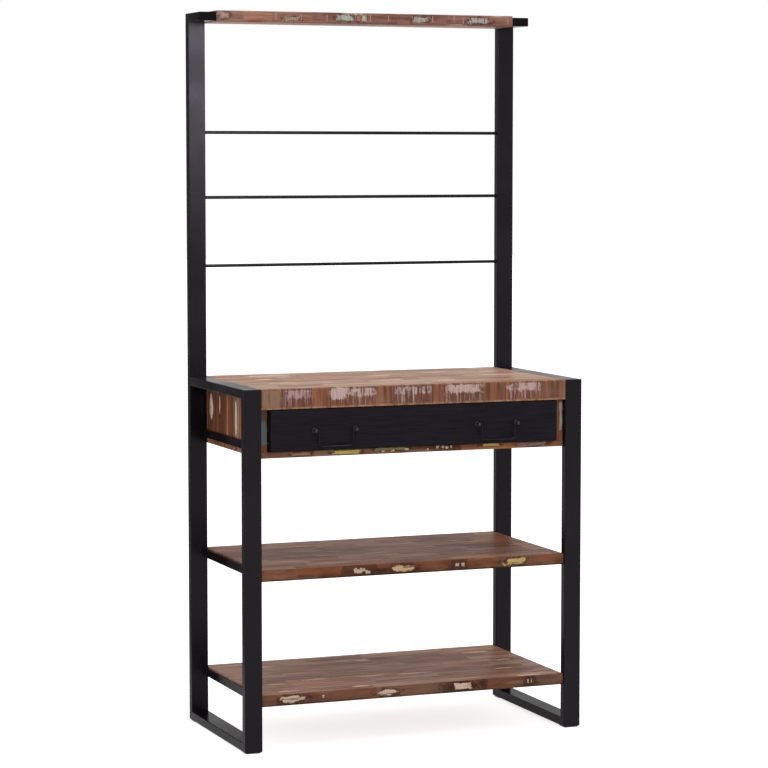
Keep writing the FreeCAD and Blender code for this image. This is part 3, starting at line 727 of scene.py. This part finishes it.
def shaded_edge_paint(node, depth, place, colour, painted):
    """Paint for a shelf's sawn edges: darker than its top as painted shade, cloudy along the grain, darker
    below.
    """
    low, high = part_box(node)
    y, z = axes_of(place)[1:]
    on_edge = between(larger(less(low.y, y), less(y, high.y)), -5 * mm, -2 * mm, 0, 0.78)
    clouds = noise(stretched(place, (10, 30, 45)), 1.0, detail=5, roughness=0.65)
    # Painted shade: the front and back edge faces turn darker than the top, the more so the greater the
    # depth.
    shaded_edge_colour = mixed(depth, ramp(clouds, edge_tones), (72, 42, 30))
    colour = mixed(on_edge, colour, shaded_edge_colour)
    # Darker still along the lower corner of the edges.
    lower_corner_dark = between(z, low.z + 1 * mm, low.z + 6 * mm, 1, 0)
    lower_corner_dark = times(lower_corner_dark, between(clouds, 0.46, 0.62, 1.2, 0.4))
    return mixed(times(lower_corner_dark, on_edge), colour, (36, 22, 18)), painted


# Each shelf's depth sets how dark the painted shade on its edges is.
for node, tones, marks, depth, seed in (("middle_shelf", shelf_tones, middle_marks, 0.36, 4),
                                        ("lower_shelf", lit_lower_tones, lower_marks, 0.7, 11)):
    plank_board(node, Y, X, spread(node, Y, shelf_widths), tones, length=190, seed=seed, marks=marks,
                paint=partial(shaded_edge_paint, node, depth))

# %% [markdown]
# ## The counter
#
# The counter top is the same glued board, paler because it was sanded further, and its front edge is
# hidden by a fascia: a row of short blocks set on end, each with its own remains of pink paint that
# ran down and wore off. The runs and drips are noise that is drawn out down the board, blots make the
# paint thicker in places, and the fascia's top and bottom corners are paler: partly worn to bare wood,
# partly a painted highlight.

# %% Counter top
counter_tones = [(0.0, (158, 114, 90)), (0.35, (180, 142, 118)), (0.7, (190, 158, 136)),
                 (1.0, (184, 128, 98))]
counter_widths = (36, 48, 41, 55)
counter_z = 890
counter_marks = [streak(-345, 178, counter_z, 110, 64, (206, 120, 98)),
                 streak(-250, 160, counter_z, 150, 34, (240, 204, 186))]
for x, y, long, wide in ((-300, 58, 46, 30), (-230, 110, 60, 18), (-290, -60, 90, 22), (16, 64, 80, 24),
                         (-20, -70, 110, 24), (190, 120, 90, 22), (120, -130, 80, 20), (310, -20, 90, 26),
                         (330, 90, 70, 20)):
    counter_marks.append(streak(x, y, counter_z, long, wide))
plank_board("counter_top", Y, X, spread("counter_top", Y, counter_widths), counter_tones,
            length=210, seed=23, marks=counter_marks)

# %% Paint that runs down the fascia
fascia_low, fascia_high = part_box("counter_fascia")
paint_middle, paint_depth, paint_half = 20 * mm, 12 * mm, 38 * mm
rose = (206, 178, 172)
painted_blocks = [(-354, -274, 0.26, (184, 150, 152)), (-230, -180, 0.46, rose), (-187, -108, 0.24, rose),
                  (-64, 44, 0.2, (200, 172, 166)), (70, 180, 0.3, (204, 176, 168)),
                  (238, 340, 0.26, (200, 170, 164))]

def running_paint(place, colour, painted):
    """Paint that covers the top of some blocks and runs down them in teeth and drips."""
    down = maths("DIVIDE", less(fascia_high.z, axes_of(place)["Z"]), fascia_high.z - fascia_low.z)
    runs = noise(stretched(place, (1, 0, 0.1)), 180, detail=5, roughness=0.72)
    drips = noise(stretched(place, (1, 0, 0.04)), 280, detail=2, roughness=0.6)
    blots = noise(stretched(place, (1, 0, 0.8)), 62, detail=4, roughness=0.65)
    thick = plus(runs, times(blots, 0.9))
    low_end = plus(down, times(less(runs, 0.5), 0.6))
    off_bottom = between(low_end, 0.96, 0.8)
    for from_x, to_x, fullness, paint_colour in painted_blocks:
        middle = Vector(((from_x + to_x) / 2 * mm, fascia_low.y, fascia_high.z - paint_middle))
        half = Vector(((to_x - from_x) / 2 * mm, paint_depth, paint_half))
        inside = cover_of(patch, place, middle, half, 1.2)
        soaked = times(inside, between(runs, 0.62, 0.4, 0.1, 0.85))
        colour = mixed(times(soaked, off_bottom), colour, (98, 64, 62))
        drip = times(between(drips, 0.54, 0.64, 0, 0.7), off_bottom)
        lower = between(down, 0.35, 0.8, fullness, fullness - 0.5)
        upper = between(down, 0.0, 0.14, -0.3, 0)
        level = plus(plus(thick, lower), upper)
        cover = times(larger(between(level, 1.08, 1.22), drip), inside)
        scratched = mixed(between(drips, 0.52, 0.34, 0, 0.5), paint_colour, (146, 108, 102))
        colour = mixed(times(cover, 0.95), colour, scratched)
        painted = larger(painted, cover)
    # Painted highlight and wear: the top and bottom corners turn paler, partly bare wood worn through and
    # partly a painted highlight where the eased edges catch the light.
    corner = larger(between(down, 0.87, 0.97), between(down, 0.06, 0.02, 0, 0.6))
    corner = times(corner, between(blots, 0.4, 0.6, 0.15, 0.75))
    return mixed(corner, colour, (196, 148, 114)), painted


print("paint is left on", len(painted_blocks), "stretches of the fascia")

# %% Counter fascia
fascia_seams = [x * mm for x in (-352, -276, -227, -111, -60, 42, 74, 177, 240, 337)]
fascia_tones = [(0.0, (134, 90, 70)), (0.5, (148, 100, 78)), (1.0, (158, 104, 74))]
fascia_front = -225
grey_block = edge_marks(patch, [(-404, -352, 865, 24, (148, 116, 96))], fascia_front, ragged=0.3, dark_rim=0)
plank_board("counter_fascia", X, Z, fascia_seams, fascia_tones, length=400, seed=31,
            marks=grey_block, flake_share=0.05, paint=running_paint)

# %% [markdown]
# ## The carcass round the drawer
#
# Below the counter a shallow case holds the drawer: two side panels with upright planks, a bottom
# whose front edge shows under the drawer, and a back. The left panel is the one that the photograph
# shows, with a pink lens, a cream line and a green strip among its planks.

# %% Side panels
panel_tones = [(0.0, (104, 61, 42)), (0.3, (150, 95, 66)), (0.6, (174, 117, 83)),
               (0.85, (176, 132, 104)), (1.0, (184, 102, 62))]
panel_widths = (38, 52, 33, 61)
panel_face, case_front = 405, -209

def panel_mark(side, y, low_z, high_z, wide, colour, shape=oval):
    """An upright mark on a panel's outer face, on the left side, -1, or the right one, 1."""
    half = (mark_depth, wide / 2, (high_z - low_z) / 2)
    return (shape, (side * panel_face, y, (low_z + high_z) / 2), half, 0.9, colour, 0.45)


left_marks = [(oval, (-panel_face, 150, 800), (mark_depth, 50, 60), 0.8, None, 0.28)]
left_marks += [panel_mark(-1, *row) for row in ((166, 780, 852, 32, (244, 204, 192)),
                                                (97, 798, 855, 9, cream),
                                                (0, 738, 860, 18, (104, 52, 36), patch),
                                                (37, 740, 858, 12, (178, 130, 92), patch),
                                                (-30, 752, 853, 17, (224, 236, 210)),
                                                (-65, 745, 858, 16, (168, 88, 62), patch))]
left_marks += [(patch, (-397, case_front, 838), (12, 7, 26), 1.2, (88, 80, 80), 0),
               (patch, (-397, case_front, 782), (12, 8, 31), 1.0, (96, 120, 128), 0)]
right_marks = [panel_mark(1, 120, 760, 830, 12, cream),
               panel_mark(1, -80, 750, 846, 16, (150, 156, 126)),
               panel_mark(1, 10, 790, 850, 18, (206, 164, 154)),
               (patch, (399, case_front, 798), (5, 7, 40), 1.2, (196, 188, 182), 0.3)]
for side, marks, seed in (("left", left_marks, 41), ("right", right_marks, 47)):
    node = side + "_side_panel"
    plank_board(node, Y, Z, spread(node, Y, panel_widths), panel_tones, length=300, seed=seed,
                marks=marks, flake_share=0.1)

# %% Carcass bottom and back
bottom_paint = [(-325, -273, 728, 5, (176, 134, 92), 1.8), (-221, -144, 728, 5, (222, 202, 104), 1.3),
                (-104, -11, 732, 4, (156, 150, 104), 2.6), (181, 234, 731, 4, (206, 184, 108), 1.3),
                (275, 358, 728, 5, (150, 124, 118), 1.8)]
bottom_marks = []
for *row, ragged in bottom_paint:
    bottom_marks += edge_marks(patch, [row], case_front, ragged)
bottom_marks += edge_marks(oval, [(50, 112, 730, 8, None)], case_front, dark_rim=0.5)
flecks = [(-83, 4, 727, 3), (-58, 6, 727, 3), (-19, 6, 729, 3), (36, 3, 727, 3), (62, 4, 730, 5),
          (76, 3, 731, 3), (88, 4, 729, 3), (99, 2, 731, 4)]
flecks = [(x - half_x, x + half_x, z, half_z, cream) for x, half_x, z, half_z in flecks]
bottom_marks += edge_marks(patch, flecks, case_front, ragged=2.4, dark_rim=0)
plank_board("carcass_bottom", Y, X, spread("carcass_bottom", Y, shelf_widths), shelf_tones,
            length=180, seed=53, marks=bottom_marks)

low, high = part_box("carcass_back")
back_seam = (low.z + high.z) / 2 - 9 * mm
plank_board("carcass_back", Z, X, [back_seam], shelf_tones, length=260, seed=59)

# %% [markdown]
# ## The top shelf
#
# The top shelf is only three strips deep. Its front edge has ragged whites and a teal on dark stain,
# and thin pale lines between them. Here the paint has worn off upright, across the grain, so the
# finish is told to wear along Z.

# %% Top shelf
top_tones = [(0.0, (144, 101, 88)), (0.4, (162, 117, 102)), (0.75, (170, 132, 118)),
             (1.0, (174, 118, 96))]
top_front, top_z, line_half = 108, 1801, 1.6
whites = [(-398, -372, top_z, 8, (180, 152, 146)), (-228, -187, top_z - 5, 5, (168, 160, 138)),
          (-88, -37, top_z, 8, (178, 190, 182)), (-30, -21, top_z, 8, (178, 114, 98)),
          (-15, -4, top_z, 8, (190, 182, 170)), (122, 173, top_z - 1, 7, (180, 176, 170)),
          (277, 337, top_z - 1, 8, (184, 180, 176))]
lines = [(x - line_half, x + line_half, top_z, 10, (176, 146, 130))
         for x in (-256, -248, -180, -111, 7, 57, 179, 239, 265, 391)]
top_marks = edge_marks(patch, whites, top_front, ragged=3.0, dark_rim=0.6)
top_marks += edge_marks(patch, lines, top_front, ragged=2.2, dark_rim=0.3)
top_seams = [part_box("top_shelf")[0].y + from_front * mm for from_front in (41, 80)]
plank_board("top_shelf", Y, X, top_seams, top_tones, length=170, seed=67, marks=top_marks, wear=Z)

# %% [markdown]
# ## The drawer
#
# The drawer's front is a board painted satin black, through which the wood's long grain still shows
# as a faint relief. The box behind it is plain pale softwood, never painted. Their CAD shapes are
# right already, so they only get a finish.

# %% Drawer finishes
black_lacquer, shader, place = new_finish("black lacquered wood")
grain = noise(stretched(place, (4, 60, 60)), 3.5, detail=7, roughness=0.65)
rub = noise(place, 11, detail=4)
lacquer = mixed(between(grain, 0.35, 0.7), (30, 27, 33), (37, 34, 41))
lacquer = mixed(between(rub, 0.6, 0.8, 0, 0.25), lacquer, (50, 47, 55))
set_finish(shader, Base_Color=lacquer, Roughness=between(grain, 0.3, 0.7, 0.5, 0.4),
           IOR=coat_ior, Normal=bump(grain, 0.2, 0.2 * mm))
dress(["drawer_front"], black_lacquer)


def softwood(name, bands, growth_stretch, fibre_stretch):
    """Pale softwood whose growth rings step along one axis, with its fibres along the board."""
    material, shader, place = new_finish(name)
    rings = add(shader.id_data, "ShaderNodeTexWave", {"bands_direction": bands}, Scale=9.0, Distortion=6.0,
                Detail=3.0, Vector=stretched(place, growth_stretch)).outputs[1]
    fibre = noise(stretched(place, fibre_stretch), 5, detail=6, roughness=0.65)
    pine = mixed(rings, (208, 175, 130), (194, 154, 108))
    pine = mixed(between(fibre, 0.5, 0.8, 0, 0.4), pine, (160, 120, 80))
    set_finish(shader, Base_Color=pine, Roughness=between(fibre, 0.3, 0.7, 0.6, 0.48),
               Normal=bump(fibre, 0.2, 0.2 * mm))
    return material


upright_pine = softwood("drawer side softwood", "Z", (0.25, 0.25, 2.5), (3, 3, 60))
lying_pine = softwood("drawer bottom softwood", "Y", (0.25, 1.5, 6), (3, 50, 60))
dress(["left_drawer_side", "right_drawer_side", "drawer_back"], upright_pine)
dress(["drawer_bottom"], lying_pine)
print("drawer front and box finished")

# %% [markdown]
# ## Turned handle posts
#
# Each bail hangs in two small posts, turned on a lathe from black steel. A lathe is just a profile
# swept round an axis, so the profile is drawn by extruding one point step by step and then spun once
# round. The hole for the wire is bored with a Boolean, because the wire really turns in it.

# %% Lathe
def turn(name, profile, steps):
    """Turns a profile of pairs, distance along -Y and radius in millimetres, round the Y axis."""
    piece = start(bpy.ops.mesh.primitive_plane_add, size=mm)
    edit(piece)
    bpy.ops.mesh.select_mode(type="VERT")
    bpy.ops.mesh.select_all(action="SELECT")
    bpy.ops.mesh.merge(type="CENTER")
    corners = [Vector((radius * mm, -distance * mm, 0)) for distance, radius in profile]
    bpy.ops.transform.translate(value=corners[0])
    for before, after in zip(corners, corners[1:]):
        bpy.ops.mesh.extrude_region_move(TRANSFORM_OT_translate={"value": after - before})
    bpy.ops.mesh.select_all(action="SELECT")
    bpy.ops.mesh.spin(steps=steps, angle=2 * math.pi, center=(0, 0, 0), axis=(0, 1, 0))
    close_up()
    leave()
    return settle(piece, name)


print("the lathe turns round the Y axis")

# %% Places and copies
quarter = math.pi / 2
each_corner = [(side, end) for side in (-1, 1) for end in (-1, 1)]

def at(x, y, z, turned=0):
    """A place in millimetres, turned by an angle about Z."""
    return Matrix.Translation(Vector((x, y, z)) * mm) @ Matrix.Rotation(turned, 4, "Z")


def middle_of(node):
    """The middle of a CAD node, in millimetres."""
    low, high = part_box(node)
    return (low + high) / 2 / mm


def copy_to(piece, place):
    """A copy of a piece at a place, with a mesh of its own."""
    copy = piece.copy()
    copy.data = piece.data.copy()
    bpy.context.scene.collection.objects.link(copy)
    copy.data.transform(place)
    return copy


def copies(piece, name, places):
    """Copies a piece to several places and joins the copies into one object."""
    made = [copy_to(piece, place) for place in places]
    only(made[0])
    for copy in made:
        copy.select_set(True)
    bpy.ops.object.join()
    bpy.data.objects.remove(piece)
    return settle(made[0], name)


print("the bails hang about", middle_of("right_bail"))

# %% Handle posts
post_profile = [(0, 0), (0, 6.6), (0.4, 7.0), (1.2, 7.0), (1.8, 6.6), (2.4, 5.7), (3.0, 4.9), (4.2, 4.4),
                (5.4, 4.5), (6.2, 4.9), (6.6, 5.0), (13.2, 5.0), (14.4, 4.6), (15.3, 3.7), (15.8, 2.3),
                (16.0, 0)]
wire_pivot_depth = 10
wire_bore = 2.45
bore_half = 10
handle_post = turn("handle_post", post_profile, 36)
bore = turn("bore", [(-bore_half, 0), (-bore_half, wire_bore), (bore_half, wire_bore), (bore_half, 0)], 24)
bore.data.transform(at(0, -wire_pivot_depth, 0, quarter))
apply(handle_post, "BOOLEAN", object=bore, operation="DIFFERENCE")
bpy.data.objects.remove(bore)
smooth(handle_post, 35)

handle_x = middle_of("right_bail").x
handle_z = middle_of("handle_posts").z
front_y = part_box("drawer_front")[0].y / mm
handle_half = 53
post_places = [at(side * handle_x + end * handle_half, front_y, handle_z) for side, end in each_corner]
handle_posts = copies(handle_post, "turned_handle_posts", post_places)
fit(handle_posts, "drawer", "black_steel", handled_coat, "handle_posts")

# %% [markdown]
# ## Wire bails
#
# A bail is one length of black wire, bent four times. Half of it is enough: a ring of points is
# extruded along each straight run and spun round each bend, and a mirror adds the other half. The
# ring starts at the outer end, which stands a little out of its post.

# %% Bails
wire_radius = 2.25
wire_end_ease = 0.6
bail_end, bail_leg, bail_drop = 60, 44, 39
shoulder_bend, lower_bend = 3.5, 9

ring = start(bpy.ops.mesh.primitive_circle_add, vertices=20, radius=wire_radius * mm, fill_type="NOTHING",
             location=(bail_end * mm, 0, 0), rotation=(0, quarter, 0))
bail = settle(ring, "bail")
edit(bail)
bpy.ops.mesh.select_mode(type="EDGE")
bpy.ops.mesh.select_all(action="SELECT")

def run(x, z):
    bpy.ops.mesh.extrude_region_move(TRANSFORM_OT_translate={"value": (x * mm, 0, z * mm)})


def bend(x, z, steps, angle):
    bpy.ops.mesh.spin(steps=steps, angle=angle, center=(x * mm, 0, z * mm), axis=(0, 1, 0))


run(bail_leg + shoulder_bend - bail_end, 0)
bend(bail_leg + shoulder_bend, -shoulder_bend, 6, quarter)
run(0, shoulder_bend + lower_bend - bail_drop)
bend(bail_leg - lower_bend, lower_bend - bail_drop, 8, -quarter)
run(lower_bend - bail_leg, 0)
pick(bail, "EDGE", lambda edge: all(abs(point.co.x - bail_end * mm) < near for point in edge.verts))
bpy.ops.mesh.edge_face_add()
bpy.ops.mesh.bevel(offset=wire_end_ease * mm, segments=3)
leave()
apply(bail, "MIRROR", use_axis=(True, False, False), use_clip=True, merge_threshold=near)
edit(bail)
close_up()
leave()
smooth(bail, 40)
print("bail box", [round(size / mm, 1) for size in bail.dimensions])

for side, x in (("left", -handle_x), ("right", handle_x)):
    hung = settle(copy_to(bail, at(x, front_y - wire_pivot_depth, handle_z)), side + "_wire_bail")
    fit(hung, side + "_bail", "black_steel", powder_coat, side + "_bail")
bpy.data.objects.remove(bail)

# %% [markdown]
# ## Screws and pins
#
# Pan-head screws hold the shelves to the bars, the case to its rails, the posts to their plugs and
# the handle posts to the drawer. One screw of each length is turned on the lathe, and its cross slot
# is cut with a Boolean. The top shelf sits on plain zinc pins with rounded ends.

# %% Zinc
zinc, shader, place = new_finish("zinc plated steel")
spangle = noise(place, 90, detail=4, roughness=0.6)
drawn = noise(stretched(place, (90, 4, 90)), 12)
plate = mixed(between(spangle, 0.35, 0.7), (150, 153, 158), (188, 190, 192))
set_finish(shader, Base_Color=plate, Metallic=1.0, Roughness=between(drawn, 0.3, 0.7, 0.28, 0.42),
           Normal=bump(drawn, 0.06, 0.1 * mm))
dress([f"{side}_{name}" for side in sides for name in ("cabinet_slide", "drawer_slide", "ball_cage")], zinc)
print("slides and cages are zinc plated")

# %% How a screw is made
head_profile = [(0, 4.25), (0.5, 4.25), (1.3, 4.0), (2.0, 3.3), (2.4, 2.4), (2.6, 0)]
point_length, taper_length = 1.2, 3
slot_half_length, slot_half_width, slot_floor, above_head, slot_inset = 2.6, 0.5, 1.4, 4, 0.2

def screw(name, length, radius):
    """A screw along -Y: the head stands out from nought, the shank goes the other way."""
    shank = [(-length, 0), (point_length - length, radius * 0.55), (taper_length - length, radius)]
    shank.append((0, radius))
    made = turn(name, shank + head_profile, 20)
    slot = block_between("slot", Vector((-slot_half_length, -above_head, -slot_half_width)) * mm,
                         Vector((slot_half_length, -slot_floor, slot_half_width)) * mm)
    edit(slot)
    pick(slot, "FACE", lambda face: abs(face.normal.x) > 0.9)
    bpy.ops.mesh.inset(thickness=slot_inset * mm)
    leave()
    for angle in (0, quarter):
        slot.data.transform(Matrix.Rotation(angle, 4, "Y"))
        apply(made, "BOOLEAN", object=slot, operation="DIFFERENCE")
    bpy.data.objects.remove(slot)
    smooth(made, 35)
    return made


print("a screw's head stands out by", head_profile[-1][0], "mm")

# %% Screws
screw_y = 145
lower_bar_z, middle_bar_z, drawer_bar_z = 126, 434, 744
bar_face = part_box("right_lower_shelf_rail")[1].x / mm
frame_x = middle_of("right_front_leg").x
post_back, post_screw_z, drawer_front_back = 225, 920, -207

def bar_spots(*heights):
    """The places of the screws through the flat bars, at some heights."""
    return [at(side * bar_face, end * screw_y, z, side * quarter)
            for side, end in each_corner for z in heights]


post_spots = [at(side * frame_x, post_back, post_screw_z, math.pi) for side in (-1, 1)]
handle_spots = [at(side * handle_x + end * handle_half, drawer_front_back, handle_z, math.pi)
                for side, end in each_corner]
for node, length, radius, spots, body, slot, finish in (
        ("shelf_screws", 40, 2.2, bar_spots(lower_bar_z, middle_bar_z), "frame", "black_steel", powder_coat),
        ("carcass_screws", 20, 2.2, bar_spots(drawer_bar_z), "frame", "black_steel", powder_coat),
        ("post_screws", 8, 2.2, post_spots, "frame", "black_steel", powder_coat),
        ("handle_screws", 25, 1.7, handle_spots, "drawer", "zinc_steel", zinc)):
    fit(copies(screw(node, length, radius), node + "_turned", spots), body, slot, finish, node)

# %% Pins
pin_half, pin_seat = 15, 3
pin_end = [(13.6, 2.6), (14.2, 2.4), (pin_half, 1.6), (pin_half, 0)]
pin_profile = [(-distance, radius) for distance, radius in reversed(pin_end)] + pin_end
pin = turn("pin", pin_profile, 20)
smooth(pin, 35)
pins_low, pins_high = (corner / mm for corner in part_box("top_shelf_pins"))
pin_spots = [at(side * (pins_high.x - pin_half), y, middle_of("top_shelf_pins").z, quarter)
             for side in (-1, 1) for y in (pins_low.y + pin_seat, pins_high.y - pin_seat)]
fit(copies(pin, "top_shelf_dowels", pin_spots), "frame", "zinc_steel", zinc, "top_shelf_pins")

# %% [markdown]
# ## Balls in the slides
#
# The drawer runs on steel balls held in a cage, two rows of four on each side. A ball is a half
# circle on the lathe. The balls ride with their cage, which moves half as far as the drawer does.

# %% Slide balls
ball_radius = 2.25
ball_rise = 13.9
ball_count = 4
arc_steps = 12
arc = [math.pi * step / arc_steps for step in range(arc_steps + 1)]
ball = turn("ball", [(-ball_radius * math.cos(angle), ball_radius * math.sin(angle)) for angle in arc], 20)
bpy.ops.object.shade_smooth()
cage_low, cage_high = (corner.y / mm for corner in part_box("right_ball_cage"))
ball_step = (cage_high - cage_low) / ball_count
slide = middle_of("right_cabinet_slide")
ball_spots = [at(side * slide.x, cage_low + ball_step * (index + 0.5), slide.z + up * ball_rise)
              for side in (-1, 1) for up in (-1, 1) for index in range(ball_count)]
fit(copies(ball, "slide_balls", ball_spots), "ball_cages", "zinc_steel", zinc)

# %% [markdown]
# ## Feet
#
# Under each end of the bottom rails sits a hard plastic glide. It is a thin block with round corners,
# a soft lower edge and a shallow hollow for the nail that holds it.

# %% Glides
glide_plastic, shader, place = new_finish("black glide plastic")
grit = noise(place, 420)
scuff = noise(stretched(place, (3, 1, 1)), 60, detail=5, roughness=0.7)
plastic = mixed(between(scuff, 0.5, 0.75), (34, 34, 35), (74, 73, 72))
set_finish(shader, Base_Color=plastic, Roughness=between(scuff, 0.4, 0.7, 0.45, 0.7),
           Normal=bump(grit, 0.15, 0.2 * mm))

glide_half_x, glide_half_y, glide_height = 19 * mm, 18 * mm, 3 * mm
glide_corner, glide_edge, hollow_margin, hollow_depth = 5 * mm, 0.8 * mm, 11 * mm, 1.2 * mm
least_sole = 200 * mm * mm
glide_y = 205
glide = block_between("glide", Vector((-glide_half_x, -glide_half_y, 0)),
                      Vector((glide_half_x, glide_half_y, glide_height)))
edit(glide)
pick(glide, "EDGE", lambda edge: abs(edge.verts[0].co.z - edge.verts[1].co.z) > near)
bpy.ops.mesh.bevel(offset=glide_corner, segments=5)
pick(glide, "FACE", lambda face: face.normal.z < -0.9)
bpy.ops.mesh.bevel(offset=glide_edge, segments=2)
pick(glide, "FACE", lambda face: face.normal.z < -0.9 and face.calc_area() > least_sole)
bpy.ops.mesh.inset(thickness=hollow_margin)
bpy.ops.transform.translate(value=(0, 0, hollow_depth))
leave()
smooth(glide, 35)
glide_spots = [at(side * frame_x, end * glide_y, 0) for side, end in each_corner]
fit(copies(glide, "nailed_glides", glide_spots), "frame", "glide_plastic", glide_plastic, "foot_glides")

# %% [markdown]
# ## Weld beads
#
# The rods are welded to the posts and the flat bars to the legs. A weld is a small uneven bead where
# the two meet: a ring round each rod end, and a short roll down each bar end. Both start smooth and
# get their ripples from a displacement with a fine noise.

# %% How a weld is laid
ripple_texture = bpy.data.textures.new("weld ripples", "CLOUDS")
ripple_texture.noise_scale = 0.003
ripple = 0.9 * mm

def weld(bead, name, spots):
    """Lays a bead at its places, ripples it and fits it to the frame."""
    beads = copies(bead, name, spots)
    apply(beads, "DISPLACE", texture=ripple_texture, texture_coords="LOCAL", strength=ripple)
    bpy.ops.object.shade_smooth()
    fit(beads, "frame", "black_steel", powder_coat)


print("weld ripples are", ripple / mm, "mm deep")

# %% Welds
rod_radius, ring_gap, ring_radius = 4, 0.3, 1.3
rod_heights = (1511, 1346, 1172)
ring = start(bpy.ops.mesh.primitive_torus_add, major_segments=36, minor_segments=10,
             major_radius=(rod_radius + ring_gap) * mm, minor_radius=ring_radius * mm,
             rotation=(0, quarter, 0))
settle(ring, "rod_weld")
post_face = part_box("upper_rod")[1].x / mm
rod_y = middle_of("upper_rod").y
weld(ring, "rod_welds", [at(side * post_face, rod_y, z) for side in (-1, 1) for z in rod_heights])

bead_end = [(9.4, 1.3), (10, 0.9), (10, 0)]
bead_profile = [(-distance, radius) for distance, radius in reversed(bead_end)]
bead_profile += [(step - 9, 1.4) for step in range(19)] + bead_end
bead = turn("bead", bead_profile, 12)
bead.data.transform(Matrix.Rotation(quarter, 4, "X"))
bead_sink = 0.4
leg_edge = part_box("right_front_leg")[1].y / mm
bead_spots = [at(side * (bar_face - bead_sink), end * leg_edge, z)
              for side, end in each_corner for z in (lower_bar_z, middle_bar_z, drawer_bar_z)]
weld(bead, "bar_welds", bead_spots)
